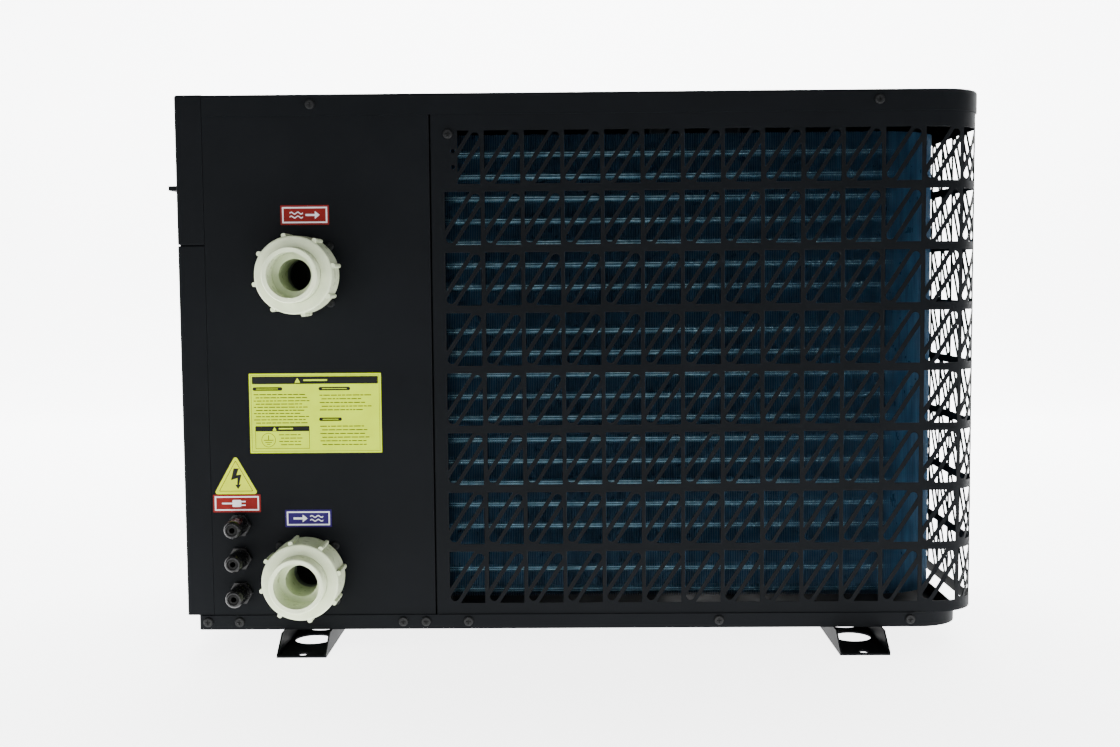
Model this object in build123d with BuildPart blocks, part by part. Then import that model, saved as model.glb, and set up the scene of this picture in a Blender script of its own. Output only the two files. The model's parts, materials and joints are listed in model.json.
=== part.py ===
from build123d import *
from math import atan2, cos, degrees, pi, radians, sin
import os

os.makedirs("parts", exist_ok=True)

# Heat pump unit for a pool. Millimetres, +Z up, the front (fan) faces +Y and the water unions face -Y.
# The origin is on the floor, at the centre of the four anchor holes in the feet.

# Casing
half_width = 455.0
half_depth = 180.0
sheet = 1.0
corner_radius = 50.0
cover_overlap = 1.5          # how far the top cover and the base pan stand outside the panels
cover_sheet = 1.2
top_z = 630.5
cover_skirt = 24.0
panel_bottom = 38.3
panel_top = 622.0
lip_bottom = 24.0
seam_x = -167.5              # vertical joint between the service panels and the fan-bay panels
seam_gap = 2.0
strip_x = -423.8             # where the end covers meet the panels
guard_side_end = 99.0

# End covers
end_sheet = 1.5
end_bottom = 38.5
end_seam = 463.0
end_top = 631.2
seam_half_gap = 0.6
end_right = strip_x - 0.4

# Base pan
pan_left = -441.4
pan_right = 436.7
pan_bottom = 21.5
pan_top = 38.0
pan_sheet = 1.2
pan_half_depth = half_depth + cover_overlap
pan_floor = pan_bottom + pan_sheet

# Feet
foot_x = 315.5
foot_width = 56.0
foot_reach = 43.0            # how far each end stands out past the casing
foot_sheet = 2.0
foot_half_length = half_depth + foot_reach
anchor_inset = 9.5
anchor_radius = 5.25
foot_hole_radius = 21.5
foot_hole_pitch = 60.0
foot_hole_count = 6
tab_y = 120.0
tab_length = 40.0
tab_width = 18.0

# Lattice of the coil guard
cell_width = 40.3
cell_height = 59.5
column_pitch = 45.0
row_pitch = 68.3
first_column = -151.6
top_row_top = 588.7
row_count = 8
column_count = 19
short_cell_inset = 15.0
triangle_part = (0.70, 0.72)  # legs of a triangle as parts of the cell's width and height
slot_width = 9.5
slot_end = (5.7, 7.0)

# Water unions, for 50 mm pipe
union_x = -314.5
outlet_z = 428.4
inlet_z = 86.7
union_screw_offset = 32.0
barrel_radius = 37.0
barrel_reach = 34.0
water_bore = 18.0
nut_start = 8.0
nut_end = 48.5
nut_radius = 43.8
nut_taper = 0.8               # how much the nut narrows towards its outer face
nut_rib_radius = 46.8
nut_rib_width = 5.0
nut_ribs = 8
nut_rib_turn = 13.0           # how far the first rib stands round from the horizontal, in degrees
tail_radius = 30.5
tail_end = 69.0
socket_radius = 25.15
socket_depth = 31.0

# Cable glands
gland_x = -391.7
gland_heights = (143.5, 105.0, 65.0)
gland_thread_radius = 10.0

# Fan
fan_x = 145.0
fan_z = 325.0
fan_radius = 219.0
orifice_radius = 228.0
orifice_depth = 40.0
orifice_flare = 12.0
hub_radius = 52.0
shaft_radius = 5.0
blade_count = 3
grille_rim_radius = 252.0
grille_ring_pitch = 13.0
grille_rings = 16
grille_spokes = 12

# Evaporator coil
coil_left = -155.8
coil_right = 420.0
coil_rear = -148.0
coil_front_end = 95.0
coil_depth = 44.0
coil_bend = 75.0
coil_bottom = 51.0
tube_pitch = 25.4
tube_levels = 21
tube_radius = 4.76
coil_height = tube_levels * tube_pitch + 3
coil_rows = (coil_rear + coil_depth / 4, coil_rear + 3 * coil_depth / 4)
coil_row_lifts = (6.5, 19.2)  # height of each row's lowest tube above the bottom of the fins

# Compressor bay
partition_x = -178.1
exchanger_y = -95.0
exchanger_radius = 67.5
exchanger_wall = 4.0
exchanger_bottom = 32.0
exchanger_top = 482.0
compressor_x = -264.0
compressor_y = 85.0
compressor_radius = 60.0
compressor_top = 330.0
mount_circle = 78.0
mount_plate_z = 44.0
accumulator_x = -362.0
accumulator_y = 110.0
accumulator_radius = 30.0
box_bottom = 494.0

# Controller on the front service panel
control_x = -297.0
control_z = 430.0
control_width = 170.0
control_height = 84.0
control_face = 190.0
button_radius = 6.9
button_xs = (-272.0, -248.0, -248.0)
button_zs = (430.0, 442.0, 418.0)
hinge_y = 194.5
hinge_z = 471.0

# Screws
screw_shank = 1.9
screw_hole = 2.2
base_screw_z = 30.5
rear_base_screws = (-430.7, -394.3, -205.6, -179.4, -130.6, 156.8, 375.4)
front_base_screws = (-394.3, -205.6, -130.6, 156.8, 375.4)
cover_screw_z = 619.0
cover_screws = (-301.1, 335.4)


def finish(piece, name):
    """Label a finished piece and write it."""
    piece.part.label = name
    export_step(piece.part, f"parts/{name}.step")


def rear_plane(x, z, y=-half_depth):
    """A plane that faces the rear, its local x along +X and its local y up."""
    return Plane((x, y, z), x_dir=(1, 0, 0), z_dir=(0, -1, 0))


def front_plane(x, z, y=half_depth):
    """A plane that faces the front, its local x along -X and its local y up."""
    return Plane((x, y, z), x_dir=(-1, 0, 0), z_dir=(0, 1, 0))


def left_plane(y, z, x=-half_width):
    """A plane that faces the left end."""
    return Plane((x, y, z), x_dir=(0, -1, 0), z_dir=(-1, 0, 0))


def rect_between(x0, x1, y0, y1, mode=Mode.ADD):
    """Draw a rectangle between two x values and two y values."""
    with Locations(((x0 + x1) / 2, (y0 + y1) / 2)):
        Rectangle(x1 - x0, y1 - y0, mode=mode)


# --- Plan outline of the sheet casing ---------------------------------------------------------------

with BuildSketch() as casing_inside:
    Rectangle(2 * (half_width - sheet), 2 * (half_depth - sheet))
    fillet(casing_inside.vertices().group_by(Axis.X)[-1], corner_radius - sheet)

with BuildSketch() as casing_ring:
    Rectangle(2 * half_width, 2 * half_depth)
    fillet(casing_ring.vertices().group_by(Axis.X)[-1], corner_radius)
    add(casing_inside.sketch, mode=Mode.SUBTRACT)

# --- Base pan and feet ------------------------------------------------------------------------------

tab_offsets = [side * (foot_width / 2 + tab_width / 2) for side in (-1, 1)]
base_bolt_points = [
    (side * foot_x + offset_x, end * tab_y)
    for side in (-1, 1)
    for offset_x in tab_offsets
    for end in (-1, 1)
]
mount_angles = (90, 210, 330)
mount_points = [
    (compressor_x + mount_circle * cos(radians(a)), compressor_y + mount_circle * sin(radians(a)))
    for a in mount_angles
]
drain_x = 40.0

with BuildPart() as base_pan:
    with BuildSketch(Plane.XY.offset(pan_bottom)) as pan_plan:
        rect_between(pan_left, pan_right, -pan_half_depth, pan_half_depth)
        fillet(pan_plan.vertices().group_by(Axis.X)[-1], corner_radius)
        fillet(pan_plan.vertices().group_by(Axis.X)[0], 4)
    extrude(amount=pan_top - pan_bottom)
    offset(amount=-pan_sheet, openings=base_pan.faces().sort_by(Axis.Z)[-1])
    with BuildSketch(Plane.XY.offset(pan_bottom)):
        with Locations(*base_bolt_points):
            Circle(3.3)
        with Locations((drain_x, 0)):
            Circle(9.3)
    extrude(amount=pan_sheet, mode=Mode.SUBTRACT)
    with Locations(*[rear_plane(x, base_screw_z, -pan_half_depth) for x in rear_base_screws]):
        Hole(screw_hole, depth=4)
    with Locations(*[front_plane(x, base_screw_z, pan_half_depth) for x in front_base_screws]):
        Hole(screw_hole, depth=4)
finish(base_pan, "base_pan")

for side, foot_name in ((-1, "foot_left"), (1, "foot_right")):
    with BuildPart() as foot:
        with BuildSketch(Plane.XZ.offset(foot_half_length)):
            with BuildLine():
                outer = foot_width / 2
                inner = outer - foot_sheet
                Polyline((-outer, pan_bottom), (-outer, 0), (outer, 0), (outer, pan_bottom),
                         (inner, pan_bottom), (inner, foot_sheet), (-inner, foot_sheet),
                         (-inner, pan_bottom), close=True)
            make_face()
        extrude(amount=-2 * foot_half_length)
        with BuildSketch(Plane.YZ.offset(-foot_width)):
            for end in (-1, 1):
                tip = end * foot_half_length
                with BuildLine():
                    Polyline((tip + end, foot_sheet + 1), (tip - end * 23, 19),
                             (tip - end * 27, pan_bottom + 1), (tip + end, pan_bottom + 1), close=True)
                make_face()
        extrude(amount=2 * foot_width, mode=Mode.SUBTRACT)
        with BuildSketch(Plane.XY.offset(pan_bottom - foot_sheet)):
            with Locations(*[(x, y) for x in tab_offsets for y in (-tab_y, tab_y)]):
                Rectangle(tab_width + 1, tab_length)
        extrude(amount=foot_sheet)
        with BuildSketch(Plane.XY.offset(pan_bottom - foot_sheet)):
            rect_between(-inner, inner, -tab_y - tab_length, tab_y + tab_length)
        extrude(amount=foot_sheet, mode=Mode.SUBTRACT)
        with BuildSketch():
            hole_span = foot_hole_pitch * (foot_hole_count - 1)
            with Locations(*[(0, -hole_span / 2 + k * foot_hole_pitch) for k in range(foot_hole_count)]):
                Circle(foot_hole_radius)
            with Locations(*[(0, end * (foot_half_length - anchor_inset)) for end in (-1, 1)]):
                Circle(anchor_radius)
        extrude(amount=foot_sheet, mode=Mode.SUBTRACT)
        with BuildSketch(Plane.XY.offset(pan_bottom - foot_sheet)):
            with Locations(*[(x, y) for x in tab_offsets for y in (-tab_y, tab_y)]):
                Circle(3.3)
        extrude(amount=foot_sheet, mode=Mode.SUBTRACT)
    foot.part.position = (side * foot_x, 0, 0)
    finish(foot, foot_name)

with BuildPart() as base_bolts:
    with BuildSketch(Plane.XY.offset(pan_bottom - foot_sheet - 10)):
        with Locations(*base_bolt_points):
            Circle(3)
    extrude(amount=17.5)
    with BuildSketch(Plane.XY.offset(pan_bottom - foot_sheet - 5)):
        with Locations(*base_bolt_points):
            RegularPolygon(5.5, 6)
    extrude(amount=5)
    with BuildSketch(Plane.XY.offset(pan_floor)):
        with Locations(*base_bolt_points):
            RegularPolygon(5.5, 6)
    extrude(amount=4)
    with BuildSketch(Plane.XY.offset(pan_floor)):
        with Locations(*mount_points):
            Circle(4)
    extrude(amount=36)
    with BuildSketch(Plane.XY.offset(mount_plate_z + 6.2)):
        with Locations(*mount_points):
            RegularPolygon(7.5, 6)
    extrude(amount=6)
finish(base_bolts, "base_bolts")

with BuildPart() as drain_spigot:
    with BuildSketch(Plane.XZ):
        with BuildLine():
            Polyline((6, 4), (8, 4), (8, 19), (9, 19), (9, pan_floor), (14, pan_floor),
                     (14, pan_floor + 2), (6, pan_floor + 2), close=True)
        make_face()
    revolve(axis=Axis.Z)
drain_spigot.part.position = (drain_x, 0, 0)
finish(drain_spigot, "drain_spigot")

# --- Panels -----------------------------------------------------------------------------------------

panel_edge = seam_x - seam_gap / 2
guard_edge = seam_x + seam_gap / 2
fold = 12.0                  # width of the folded edges behind a panel's joints
lap = 22.0                   # width of the flange behind an end cover
seal_depth = 3.0             # thickness of the ridge on a fold that closes the joint's gap
seal_clearance = 0.3


def service_panel(y_sign):
    """Draw a service panel's plan: folded edges, the ridge that closes the joint's gap, and the flange
    that the end covers lap over."""
    outer = y_sign * half_depth
    inner = y_sign * (half_depth - sheet)
    lap_outer = y_sign * (half_depth - 1.7)
    lap_inner = y_sign * (half_depth - 1.7 - sheet)
    fold_end = y_sign * (half_depth - fold)
    rect_between(strip_x, panel_edge, min(outer, inner), max(outer, inner))
    rect_between(strip_x, strip_x + sheet, min(outer, lap_inner), max(outer, lap_inner))
    rect_between(strip_x - lap, strip_x + sheet, min(lap_outer, lap_inner), max(lap_outer, lap_inner))
    rect_between(panel_edge - sheet, panel_edge, min(outer, fold_end), max(outer, fold_end))
    seal_start = fold_end + y_sign * seal_depth
    rect_between(panel_edge - sheet, guard_edge - seal_clearance, min(seal_start, fold_end),
                 max(seal_start, fold_end))


union_centres = [(union_x, z) for z in (outlet_z, inlet_z)]
union_screw_points = [
    (x + dx, z + dz)
    for x, z in union_centres
    for dx in (-union_screw_offset, union_screw_offset)
    for dz in (-union_screw_offset, union_screw_offset)
]
lap_gaps = ((lip_bottom, panel_bottom + 0.5), (end_seam - 3, end_seam + 3),
            (top_z - cover_skirt - 3, panel_top))

with BuildPart() as rear_service_panel:
    with BuildSketch(Plane.XY.offset(lip_bottom)):
        service_panel(-1)
    extrude(amount=panel_top - lip_bottom)
    for gap_bottom, gap_top in lap_gaps:
        with BuildSketch(Plane.XY.offset(gap_bottom)):
            rect_between(strip_x - lap - 1, strip_x, -half_depth, -half_depth + 4)
        extrude(amount=gap_top - gap_bottom, mode=Mode.SUBTRACT)
    with BuildSketch(Plane.XZ.offset(half_depth)):
        with Locations(*union_centres):
            Circle(barrel_radius + 0.5)
        with Locations(*union_screw_points):
            Circle(2.7)
        with Locations(*[(gland_x, z) for z in gland_heights]):
            Circle(gland_thread_radius + 0.3)
    extrude(amount=-sheet, mode=Mode.SUBTRACT)
    with Locations(*[rear_plane(x, base_screw_z) for x in rear_base_screws[:4]]):
        Hole(screw_hole, depth=4)
    with Locations(rear_plane(cover_screws[0], cover_screw_z)):
        Hole(screw_hole, depth=4)
finish(rear_service_panel, "rear_service_panel")

with BuildPart() as front_service_panel:
    with BuildSketch(Plane.XY.offset(lip_bottom)):
        service_panel(1)
    extrude(amount=panel_top - lip_bottom)
    for gap_bottom, gap_top in lap_gaps:
        with BuildSketch(Plane.XY.offset(gap_bottom)):
            rect_between(strip_x - lap - 1, strip_x, half_depth - 4, half_depth)
        extrude(amount=gap_top - gap_bottom, mode=Mode.SUBTRACT)
    with BuildSketch(Plane.XZ.offset(-half_depth)):
        with Locations((control_x, control_z)):
            Rectangle(control_width - 40, control_height - 24)
    extrude(amount=sheet, mode=Mode.SUBTRACT)
    with Locations(*[front_plane(x, base_screw_z) for x in front_base_screws[:2]]):
        Hole(screw_hole, depth=4)
    with Locations(front_plane(cover_screws[0], cover_screw_z)):
        Hole(screw_hole, depth=4)
finish(front_service_panel, "front_service_panel")

# --- Coil guard -------------------------------------------------------------------------------------

bend_x = half_width - corner_radius
bend_y = -half_depth + corner_radius
bend_length = corner_radius * pi / 2


def guard_angle(s):
    """Direction in which the guard's face looks at the distance s along it, in degrees from the rear."""
    return min(max((s - bend_x) / bend_length, 0), 1) * 90


def guard_point(s):
    """Place in plan of the guard's face at the distance s along it."""
    angle = radians(guard_angle(s))
    flat = min(s - bend_x, 0)
    side = max(s - bend_x - bend_length, 0)
    return Vector(bend_x + flat + corner_radius * sin(angle), bend_y + side - corner_radius * cos(angle))


def lattice_cell(x0, z0, width, inset=0):
    """Draw one cell's three openings: a triangle, a slanted slot and a triangle, cut off at the inset."""
    leg_x = triangle_part[0] * width
    leg_z = triangle_part[1] * cell_height
    x1 = x0 + width
    z1 = z0 + cell_height
    Polygon((x0, z1), (x0, z1 - leg_z), (x0 + leg_x, z1), align=None)
    Polygon((x1, z0), (x1, z0 + leg_z), (x1 - leg_x, z0), align=None)
    end_x = slot_end[0] * width / cell_width
    start = Vector(x0 + end_x, z0 + slot_end[1])
    end = Vector(x1 - end_x, z1 - slot_end[1])
    run = end - start
    with Locations((start + end) * 0.5):
        SlotCenterToCenter(run.length, slot_width, rotation=degrees(atan2(run.Y, run.X)))
    if inset:
        rect_between(x0 - 1, x0 + inset, z0 - 1, z1 + 1, mode=Mode.SUBTRACT)


with BuildPart() as coil_guard:
    with BuildSketch(Plane.XY.offset(panel_bottom)):
        add(casing_ring.sketch)
        rect_between(guard_edge, half_width, -half_depth, guard_side_end, mode=Mode.INTERSECT)
        rect_between(guard_edge, guard_edge + sheet, -half_depth, -half_depth + fold)
    extrude(amount=panel_top - panel_bottom)
    with BuildSketch(Plane.XY.offset(lip_bottom)):
        rect_between(guard_edge, bend_x - 25, -half_depth, -half_depth + sheet)
    extrude(amount=panel_bottom - lip_bottom)
    for column in range(column_count):
        s0 = first_column + column * column_pitch
        look = radians(guard_angle(s0 + cell_width / 2))
        bend_centre = Vector(bend_x, bend_y)
        across = Vector(cos(look), sin(look))
        column_x0 = (guard_point(s0) - bend_centre).dot(across)
        column_x1 = (guard_point(s0 + cell_width) - bend_centre).dot(across)
        cut_plane = Plane(bend_centre, x_dir=across, z_dir=(sin(look), -cos(look), 0))
        with BuildSketch(cut_plane.offset(corner_radius - 22)):
            for row in range(row_count):
                z0 = top_row_top - cell_height - row * row_pitch
                inset = short_cell_inset if row == 0 and column == 0 else 0
                lattice_cell(column_x0, z0, column_x1 - column_x0, inset)
        extrude(amount=30, mode=Mode.SUBTRACT)
    with Locations(*[rear_plane(x, base_screw_z) for x in rear_base_screws[4:]]):
        Hole(screw_hole, depth=4)
    with Locations(rear_plane(cover_screws[1], cover_screw_z), rear_plane(-147.1, 585)):
        Hole(screw_hole, depth=4)
    with Locations(rear_plane(-141.7, 565.7), rear_plane(-141.7, 548)):
        Hole(2.3, depth=4)
finish(coil_guard, "coil_guard")

# --- Front panel and fan grille ---------------------------------------------------------------------

grille_screw_radius = 247.5
grille_screw_angles = (45, 135, 225, 315)
grille_screw_points = [
    (fan_x + grille_screw_radius * cos(radians(a)), fan_z + grille_screw_radius * sin(radians(a)))
    for a in grille_screw_angles
]

with BuildPart() as front_panel:
    with BuildSketch(Plane.XY.offset(panel_bottom)):
        add(casing_ring.sketch)
        rect_between(guard_edge, half_width, guard_side_end + 1, half_depth, mode=Mode.INTERSECT)
        rect_between(guard_edge, guard_edge + sheet, half_depth - fold, half_depth)
        rect_between(half_width - 15, half_width, guard_side_end + 1, guard_side_end + 1 + sheet)
    extrude(amount=panel_top - panel_bottom)
    with BuildSketch(Plane.XY.offset(lip_bottom)):
        rect_between(guard_edge, bend_x - 25, half_depth - sheet, half_depth)
    extrude(amount=panel_bottom - lip_bottom)
    with BuildSketch(Plane.XZ.offset(-half_depth)):
        with Locations((fan_x, fan_z)):
            Circle(orifice_radius + orifice_flare)
    extrude(amount=fold, mode=Mode.SUBTRACT)
    with BuildSketch(Plane.XY.offset(fan_z)):
        flare_y = half_depth - orifice_flare
        flare_x = fan_x + orifice_radius + orifice_flare
        with BuildLine():
            flare_outer = CenterArc((flare_x, flare_y), orifice_flare, 90, 90)
            Line(flare_outer @ 1, (fan_x + orifice_radius, half_depth - orifice_depth))
            Line((fan_x + orifice_radius, half_depth - orifice_depth),
                 (fan_x + orifice_radius + sheet, half_depth - orifice_depth))
            flare_inner = CenterArc((flare_x, flare_y), orifice_flare - sheet, 90, 90)
            Line((fan_x + orifice_radius + sheet, half_depth - orifice_depth), flare_inner @ 1)
            Line(flare_inner @ 0, flare_outer @ 0)
        make_face()
    revolve(axis=Axis((fan_x, 0, fan_z), (0, 1, 0)))
    with Locations(*[front_plane(x, base_screw_z) for x in front_base_screws[2:]]):
        Hole(screw_hole, depth=4)
    with Locations(front_plane(cover_screws[1], cover_screw_z)):
        Hole(screw_hole, depth=4)
    with Locations(*[front_plane(x, z) for x, z in grille_screw_points]):
        Hole(screw_hole, depth=4)
finish(front_panel, "front_panel")

grille_rear = 196.0
grille_thickness = 5.0

with BuildPart() as fan_grille:
    with BuildSketch(Plane.XZ.offset(-grille_rear)):
        with Locations((fan_x, fan_z)):
            Circle(grille_rim_radius)
            Circle(grille_rim_radius - 9, mode=Mode.SUBTRACT)
            for ring in range(grille_rings):
                ring_radius = grille_rim_radius - (ring + 1.3) * grille_ring_pitch
                Circle(ring_radius + 1.1)
                Circle(ring_radius - 1.1, mode=Mode.SUBTRACT)
            Circle(36)
            for spoke in range(grille_spokes):
                Rectangle(grille_rim_radius - 5, 3, rotation=spoke * 360 / grille_spokes,
                          align=(Align.MIN, Align.CENTER))
    extrude(amount=-grille_thickness)
    with BuildSketch(Plane.XZ.offset(-half_depth - 0.1)):
        with Locations((fan_x, fan_z)):
            Circle(grille_rim_radius)
            Circle(grille_rim_radius - 9, mode=Mode.SUBTRACT)
    extrude(amount=half_depth + 0.1 - grille_rear)
    with Locations(*[front_plane(x, z, grille_rear + grille_thickness) for x, z in grille_screw_points]):
        Hole(screw_hole, depth=24)
finish(fan_grille, "fan_grille")

# --- Top cover and end covers -----------------------------------------------------------------------

with BuildPart() as top_cover:
    with BuildSketch(Plane.XY.offset(top_z - cover_skirt)) as cover_plan:
        rect_between(strip_x + 0.4, half_width + cover_overlap, -pan_half_depth, pan_half_depth)
        fillet(cover_plan.vertices().group_by(Axis.X)[-1], corner_radius + cover_overlap)
    extrude(amount=cover_skirt)
    top_edges = top_cover.faces().sort_by(Axis.Z)[-1].edges()
    fillet(top_edges.sort_by(Axis.X)[1:], 3)
    offset(amount=-cover_sheet, openings=[top_cover.faces().sort_by(Axis.Z)[0],
                                          top_cover.faces().sort_by(Axis.X)[0]])
    with BuildSketch(Plane.XY.offset(top_z)):
        with Locations((20, 0)):
            RectangleRounded(780, 270, 30)
    extrude(amount=1.8)
    chamfer(top_cover.faces().sort_by(Axis.Z)[-1].edges(), 1.5)
    with Locations(*[rear_plane(x, cover_screw_z, -pan_half_depth) for x in cover_screws]):
        Hole(screw_hole, depth=4)
    with Locations(*[front_plane(x, cover_screw_z, pan_half_depth) for x in cover_screws]):
        Hole(screw_hole, depth=4)
finish(top_cover, "top_cover")

grip_half_length = 55.0
grip_bottom = 492.5
grip_top = 530.2
grip_rail_half_length = 174.0
grip_rail_height = 5.4
end_screws_lower = ((-140, 60), (140, 60), (-140, 445), (140, 445))
end_screws_upper = ((-140, 485), (140, 485), (-140, 610), (140, 610))


with BuildSketch() as end_plan:
    rect_between(-half_width, end_right, -half_depth, half_depth)
    fillet(end_plan.vertices().group_by(Axis.X)[0], 3.5)

with BuildPart() as side_cover_lower:
    with BuildSketch(Plane.XY.offset(end_bottom)):
        add(end_plan.sketch)
    extrude(amount=end_seam - seam_half_gap - end_bottom)
    fillet(side_cover_lower.faces().sort_by(Axis.Z)[-1].edges().sort_by(Axis.X)[:-1], 1.3)
    offset(amount=-end_sheet, openings=[side_cover_lower.faces().sort_by(Axis.X)[-1],
                                        side_cover_lower.faces().sort_by(Axis.Z)[0]])
    with BuildSketch(Plane.XY.offset(end_seam - seam_half_gap)):
        rect_between(-half_width + 2.5, end_right, -half_depth + 2.5, half_depth - 2.5)
    extrude(amount=2 * seam_half_gap - 0.1)
    with Locations(*[left_plane(y, z) for y, z in end_screws_lower]):
        Hole(screw_hole, depth=4)
finish(side_cover_lower, "side_cover_lower")

with BuildPart() as side_cover_upper:
    with BuildSketch(Plane.XY.offset(end_seam + seam_half_gap)):
        add(end_plan.sketch)
    extrude(amount=end_top - end_seam - seam_half_gap)
    fillet(side_cover_upper.faces().sort_by(Axis.Z)[0].edges().sort_by(Axis.X)[:-1], 1.3)
    fillet(side_cover_upper.faces().sort_by(Axis.Z)[-1].edges().sort_by(Axis.X)[:-1], 3)
    offset(amount=-end_sheet, openings=[side_cover_upper.faces().sort_by(Axis.X)[-1]])
    with BuildSketch(Plane.YZ.offset(-half_width - 1)):
        rect_between(-grip_half_length - 0.3, grip_half_length + 0.3, grip_bottom - 0.3, grip_top + 0.3)
    extrude(amount=5, mode=Mode.SUBTRACT)
    with Locations(*[left_plane(y, z) for y, z in end_screws_upper]):
        Hole(screw_hole, depth=4)
finish(side_cover_upper, "side_cover_upper")

grip_reach = 10.0
grip_depth = 24.0
grip_wall = 1.8

with BuildPart() as grip_handle:
    with BuildSketch(Plane.YZ.offset(-half_width + grip_depth)):
        rect_between(-grip_half_length, grip_half_length, grip_bottom, grip_top)
    extrude(amount=-grip_depth)
    with BuildSketch(Plane.YZ.offset(-half_width + end_sheet + 0.2)):
        rect_between(-grip_half_length - 6, grip_half_length + 6, grip_bottom - 6, grip_top + 6)
    extrude(amount=1.5)
    with BuildSketch(Plane.YZ.offset(-half_width + grip_depth - grip_wall)):
        rect_between(-grip_half_length + grip_wall, grip_half_length - grip_wall,
                     grip_bottom + grip_wall, grip_top - grip_rail_height)
    extrude(amount=-grip_depth, mode=Mode.SUBTRACT)
    with BuildSketch(Plane.YZ.offset(-half_width)):
        rect_between(-grip_rail_half_length, grip_rail_half_length, grip_top - grip_rail_height, grip_top)
    extrude(amount=-grip_reach)
    fillet(grip_handle.faces().sort_by(Axis.X)[0].edges().filter_by(Axis.Y), 0.8)
finish(grip_handle, "grip_handle")

# --- Water unions -----------------------------------------------------------------------------------

flange_half = 42.0
flange_thickness = 8.0
ring_groove = 1.9
o_ring_radius = 28.0


def union_body(x, z):
    """A union's fixed half: a flange inside the panel and a barrel that stands out through it."""
    with BuildPart() as body:
        with BuildSketch(rear_plane(x, z, -half_depth + sheet + 0.1)):
            RectangleRounded(2 * flange_half, 2 * flange_half, 10)
        extrude(amount=-flange_thickness)
        with BuildSketch(rear_plane(x, z, -half_depth + sheet + 0.1)):
            Circle(barrel_radius)
        extrude(amount=barrel_reach + sheet + 0.1)
        with BuildSketch(rear_plane(x, z, -half_depth - barrel_reach)):
            Circle(o_ring_radius + ring_groove)
            Circle(o_ring_radius - ring_groove, mode=Mode.SUBTRACT)
        extrude(amount=-2 * ring_groove, mode=Mode.SUBTRACT)
        with BuildSketch(rear_plane(x, z, -half_depth - barrel_reach)):
            Circle(water_bore)
        extrude(amount=-(barrel_reach + 20), mode=Mode.SUBTRACT)
        with BuildSketch(rear_plane(x, z, -half_depth)):
            with GridLocations(2 * union_screw_offset, 2 * union_screw_offset, 2, 2):
                Circle(2.4)
        extrude(amount=-20, mode=Mode.SUBTRACT)
    return body


def union_nut(x, z):
    """A union's lugged nut: a collar round the barrel with a lip that holds the tail piece's collar."""
    with BuildPart() as nut:
        with BuildSketch(rear_plane(x, z, -half_depth - nut_start)):
            Circle(nut_radius)
        extrude(amount=nut_end - nut_start, taper=degrees(atan2(nut_taper, nut_end - nut_start)))
        fillet(nut.faces().sort_by(Axis.Y)[0].outer_wire().edges(), 2.2)
        with BuildSketch(rear_plane(x, z, -half_depth - nut_start)):
            with PolarLocations(nut_radius - 4, nut_ribs, start_angle=nut_rib_turn):
                RectangleRounded(2 * (nut_rib_radius - nut_radius + 4), nut_rib_width, 2)
        extrude(amount=nut_end - nut_start - 2.5)
        with BuildSketch(rear_plane(x, z, -half_depth - nut_start)):
            Circle(barrel_radius + 0.4)
        extrude(amount=nut_end - nut_start - 6, mode=Mode.SUBTRACT)
        with BuildSketch(rear_plane(x, z, -half_depth - nut_start)):
            Circle(tail_radius + 0.4)
        extrude(amount=nut_end - nut_start, mode=Mode.SUBTRACT)
    return nut


def union_tail(x, z):
    """A union's tail piece: a collar held by the nut, and the socket that the pipe is glued into."""
    collar_y = barrel_reach + 0.1
    with BuildPart() as tail:
        with BuildSketch(rear_plane(x, z, -half_depth - collar_y)):
            Circle(barrel_radius - 2)
        extrude(amount=nut_end - 6.1 - collar_y)
        with BuildSketch(rear_plane(x, z, -half_depth - collar_y)):
            Circle(tail_radius)
        extrude(amount=tail_end - collar_y)
        chamfer(tail.faces().sort_by(Axis.Y)[0].edges(), 1)
        with BuildSketch(rear_plane(x, z, -half_depth - tail_end)):
            Circle(socket_radius)
        extrude(amount=-socket_depth, mode=Mode.SUBTRACT)
        with BuildSketch(rear_plane(x, z, -half_depth - tail_end)):
            Circle(water_bore)
        extrude(amount=-tail_end, mode=Mode.SUBTRACT)
    return tail


for side_name, z in (("outlet", outlet_z), ("inlet", inlet_z)):
    finish(union_body(union_x, z), f"{side_name}_union_body")
    finish(union_nut(union_x, z), f"{side_name}_union_nut")
    finish(union_tail(union_x, z), f"{side_name}_tail_piece")

with BuildPart() as union_o_rings:
    for x, z in union_centres:
        with BuildSketch(Plane((x, -half_depth - barrel_reach + 1.9, z), x_dir=(1, 0, 0), z_dir=(0, 0, 1))):
            with Locations((o_ring_radius, 0)):
                Circle(1.75)
        revolve(axis=Axis((x, 0, z), (0, 1, 0)))
finish(union_o_rings, "union_o_rings")

# --- Cable glands -----------------------------------------------------------------------------------

with BuildPart() as gland_bodies:
    for z in gland_heights:
        with BuildSketch(rear_plane(gland_x, z, -half_depth)):
            RegularPolygon(12, 6, major_radius=False)
        extrude(amount=6)
        with BuildSketch(rear_plane(gland_x, z, -half_depth)):
            Circle(gland_thread_radius)
        extrude(amount=-11)
        with BuildSketch(rear_plane(gland_x, z, -half_depth)):
            Circle(8)
        extrude(amount=22)
        with BuildSketch(rear_plane(gland_x, z, -half_depth - 22)):
            Circle(6.6)
        extrude(amount=-33, mode=Mode.SUBTRACT)
finish(gland_bodies, "gland_bodies")

with BuildPart() as gland_locknuts:
    for z in gland_heights:
        with BuildSketch(rear_plane(gland_x, z, -half_depth + sheet)):
            RegularPolygon(13, 6, major_radius=False)
            Circle(gland_thread_radius + 0.05, mode=Mode.SUBTRACT)
        extrude(amount=-5)
finish(gland_locknuts, "gland_locknuts")

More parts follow.
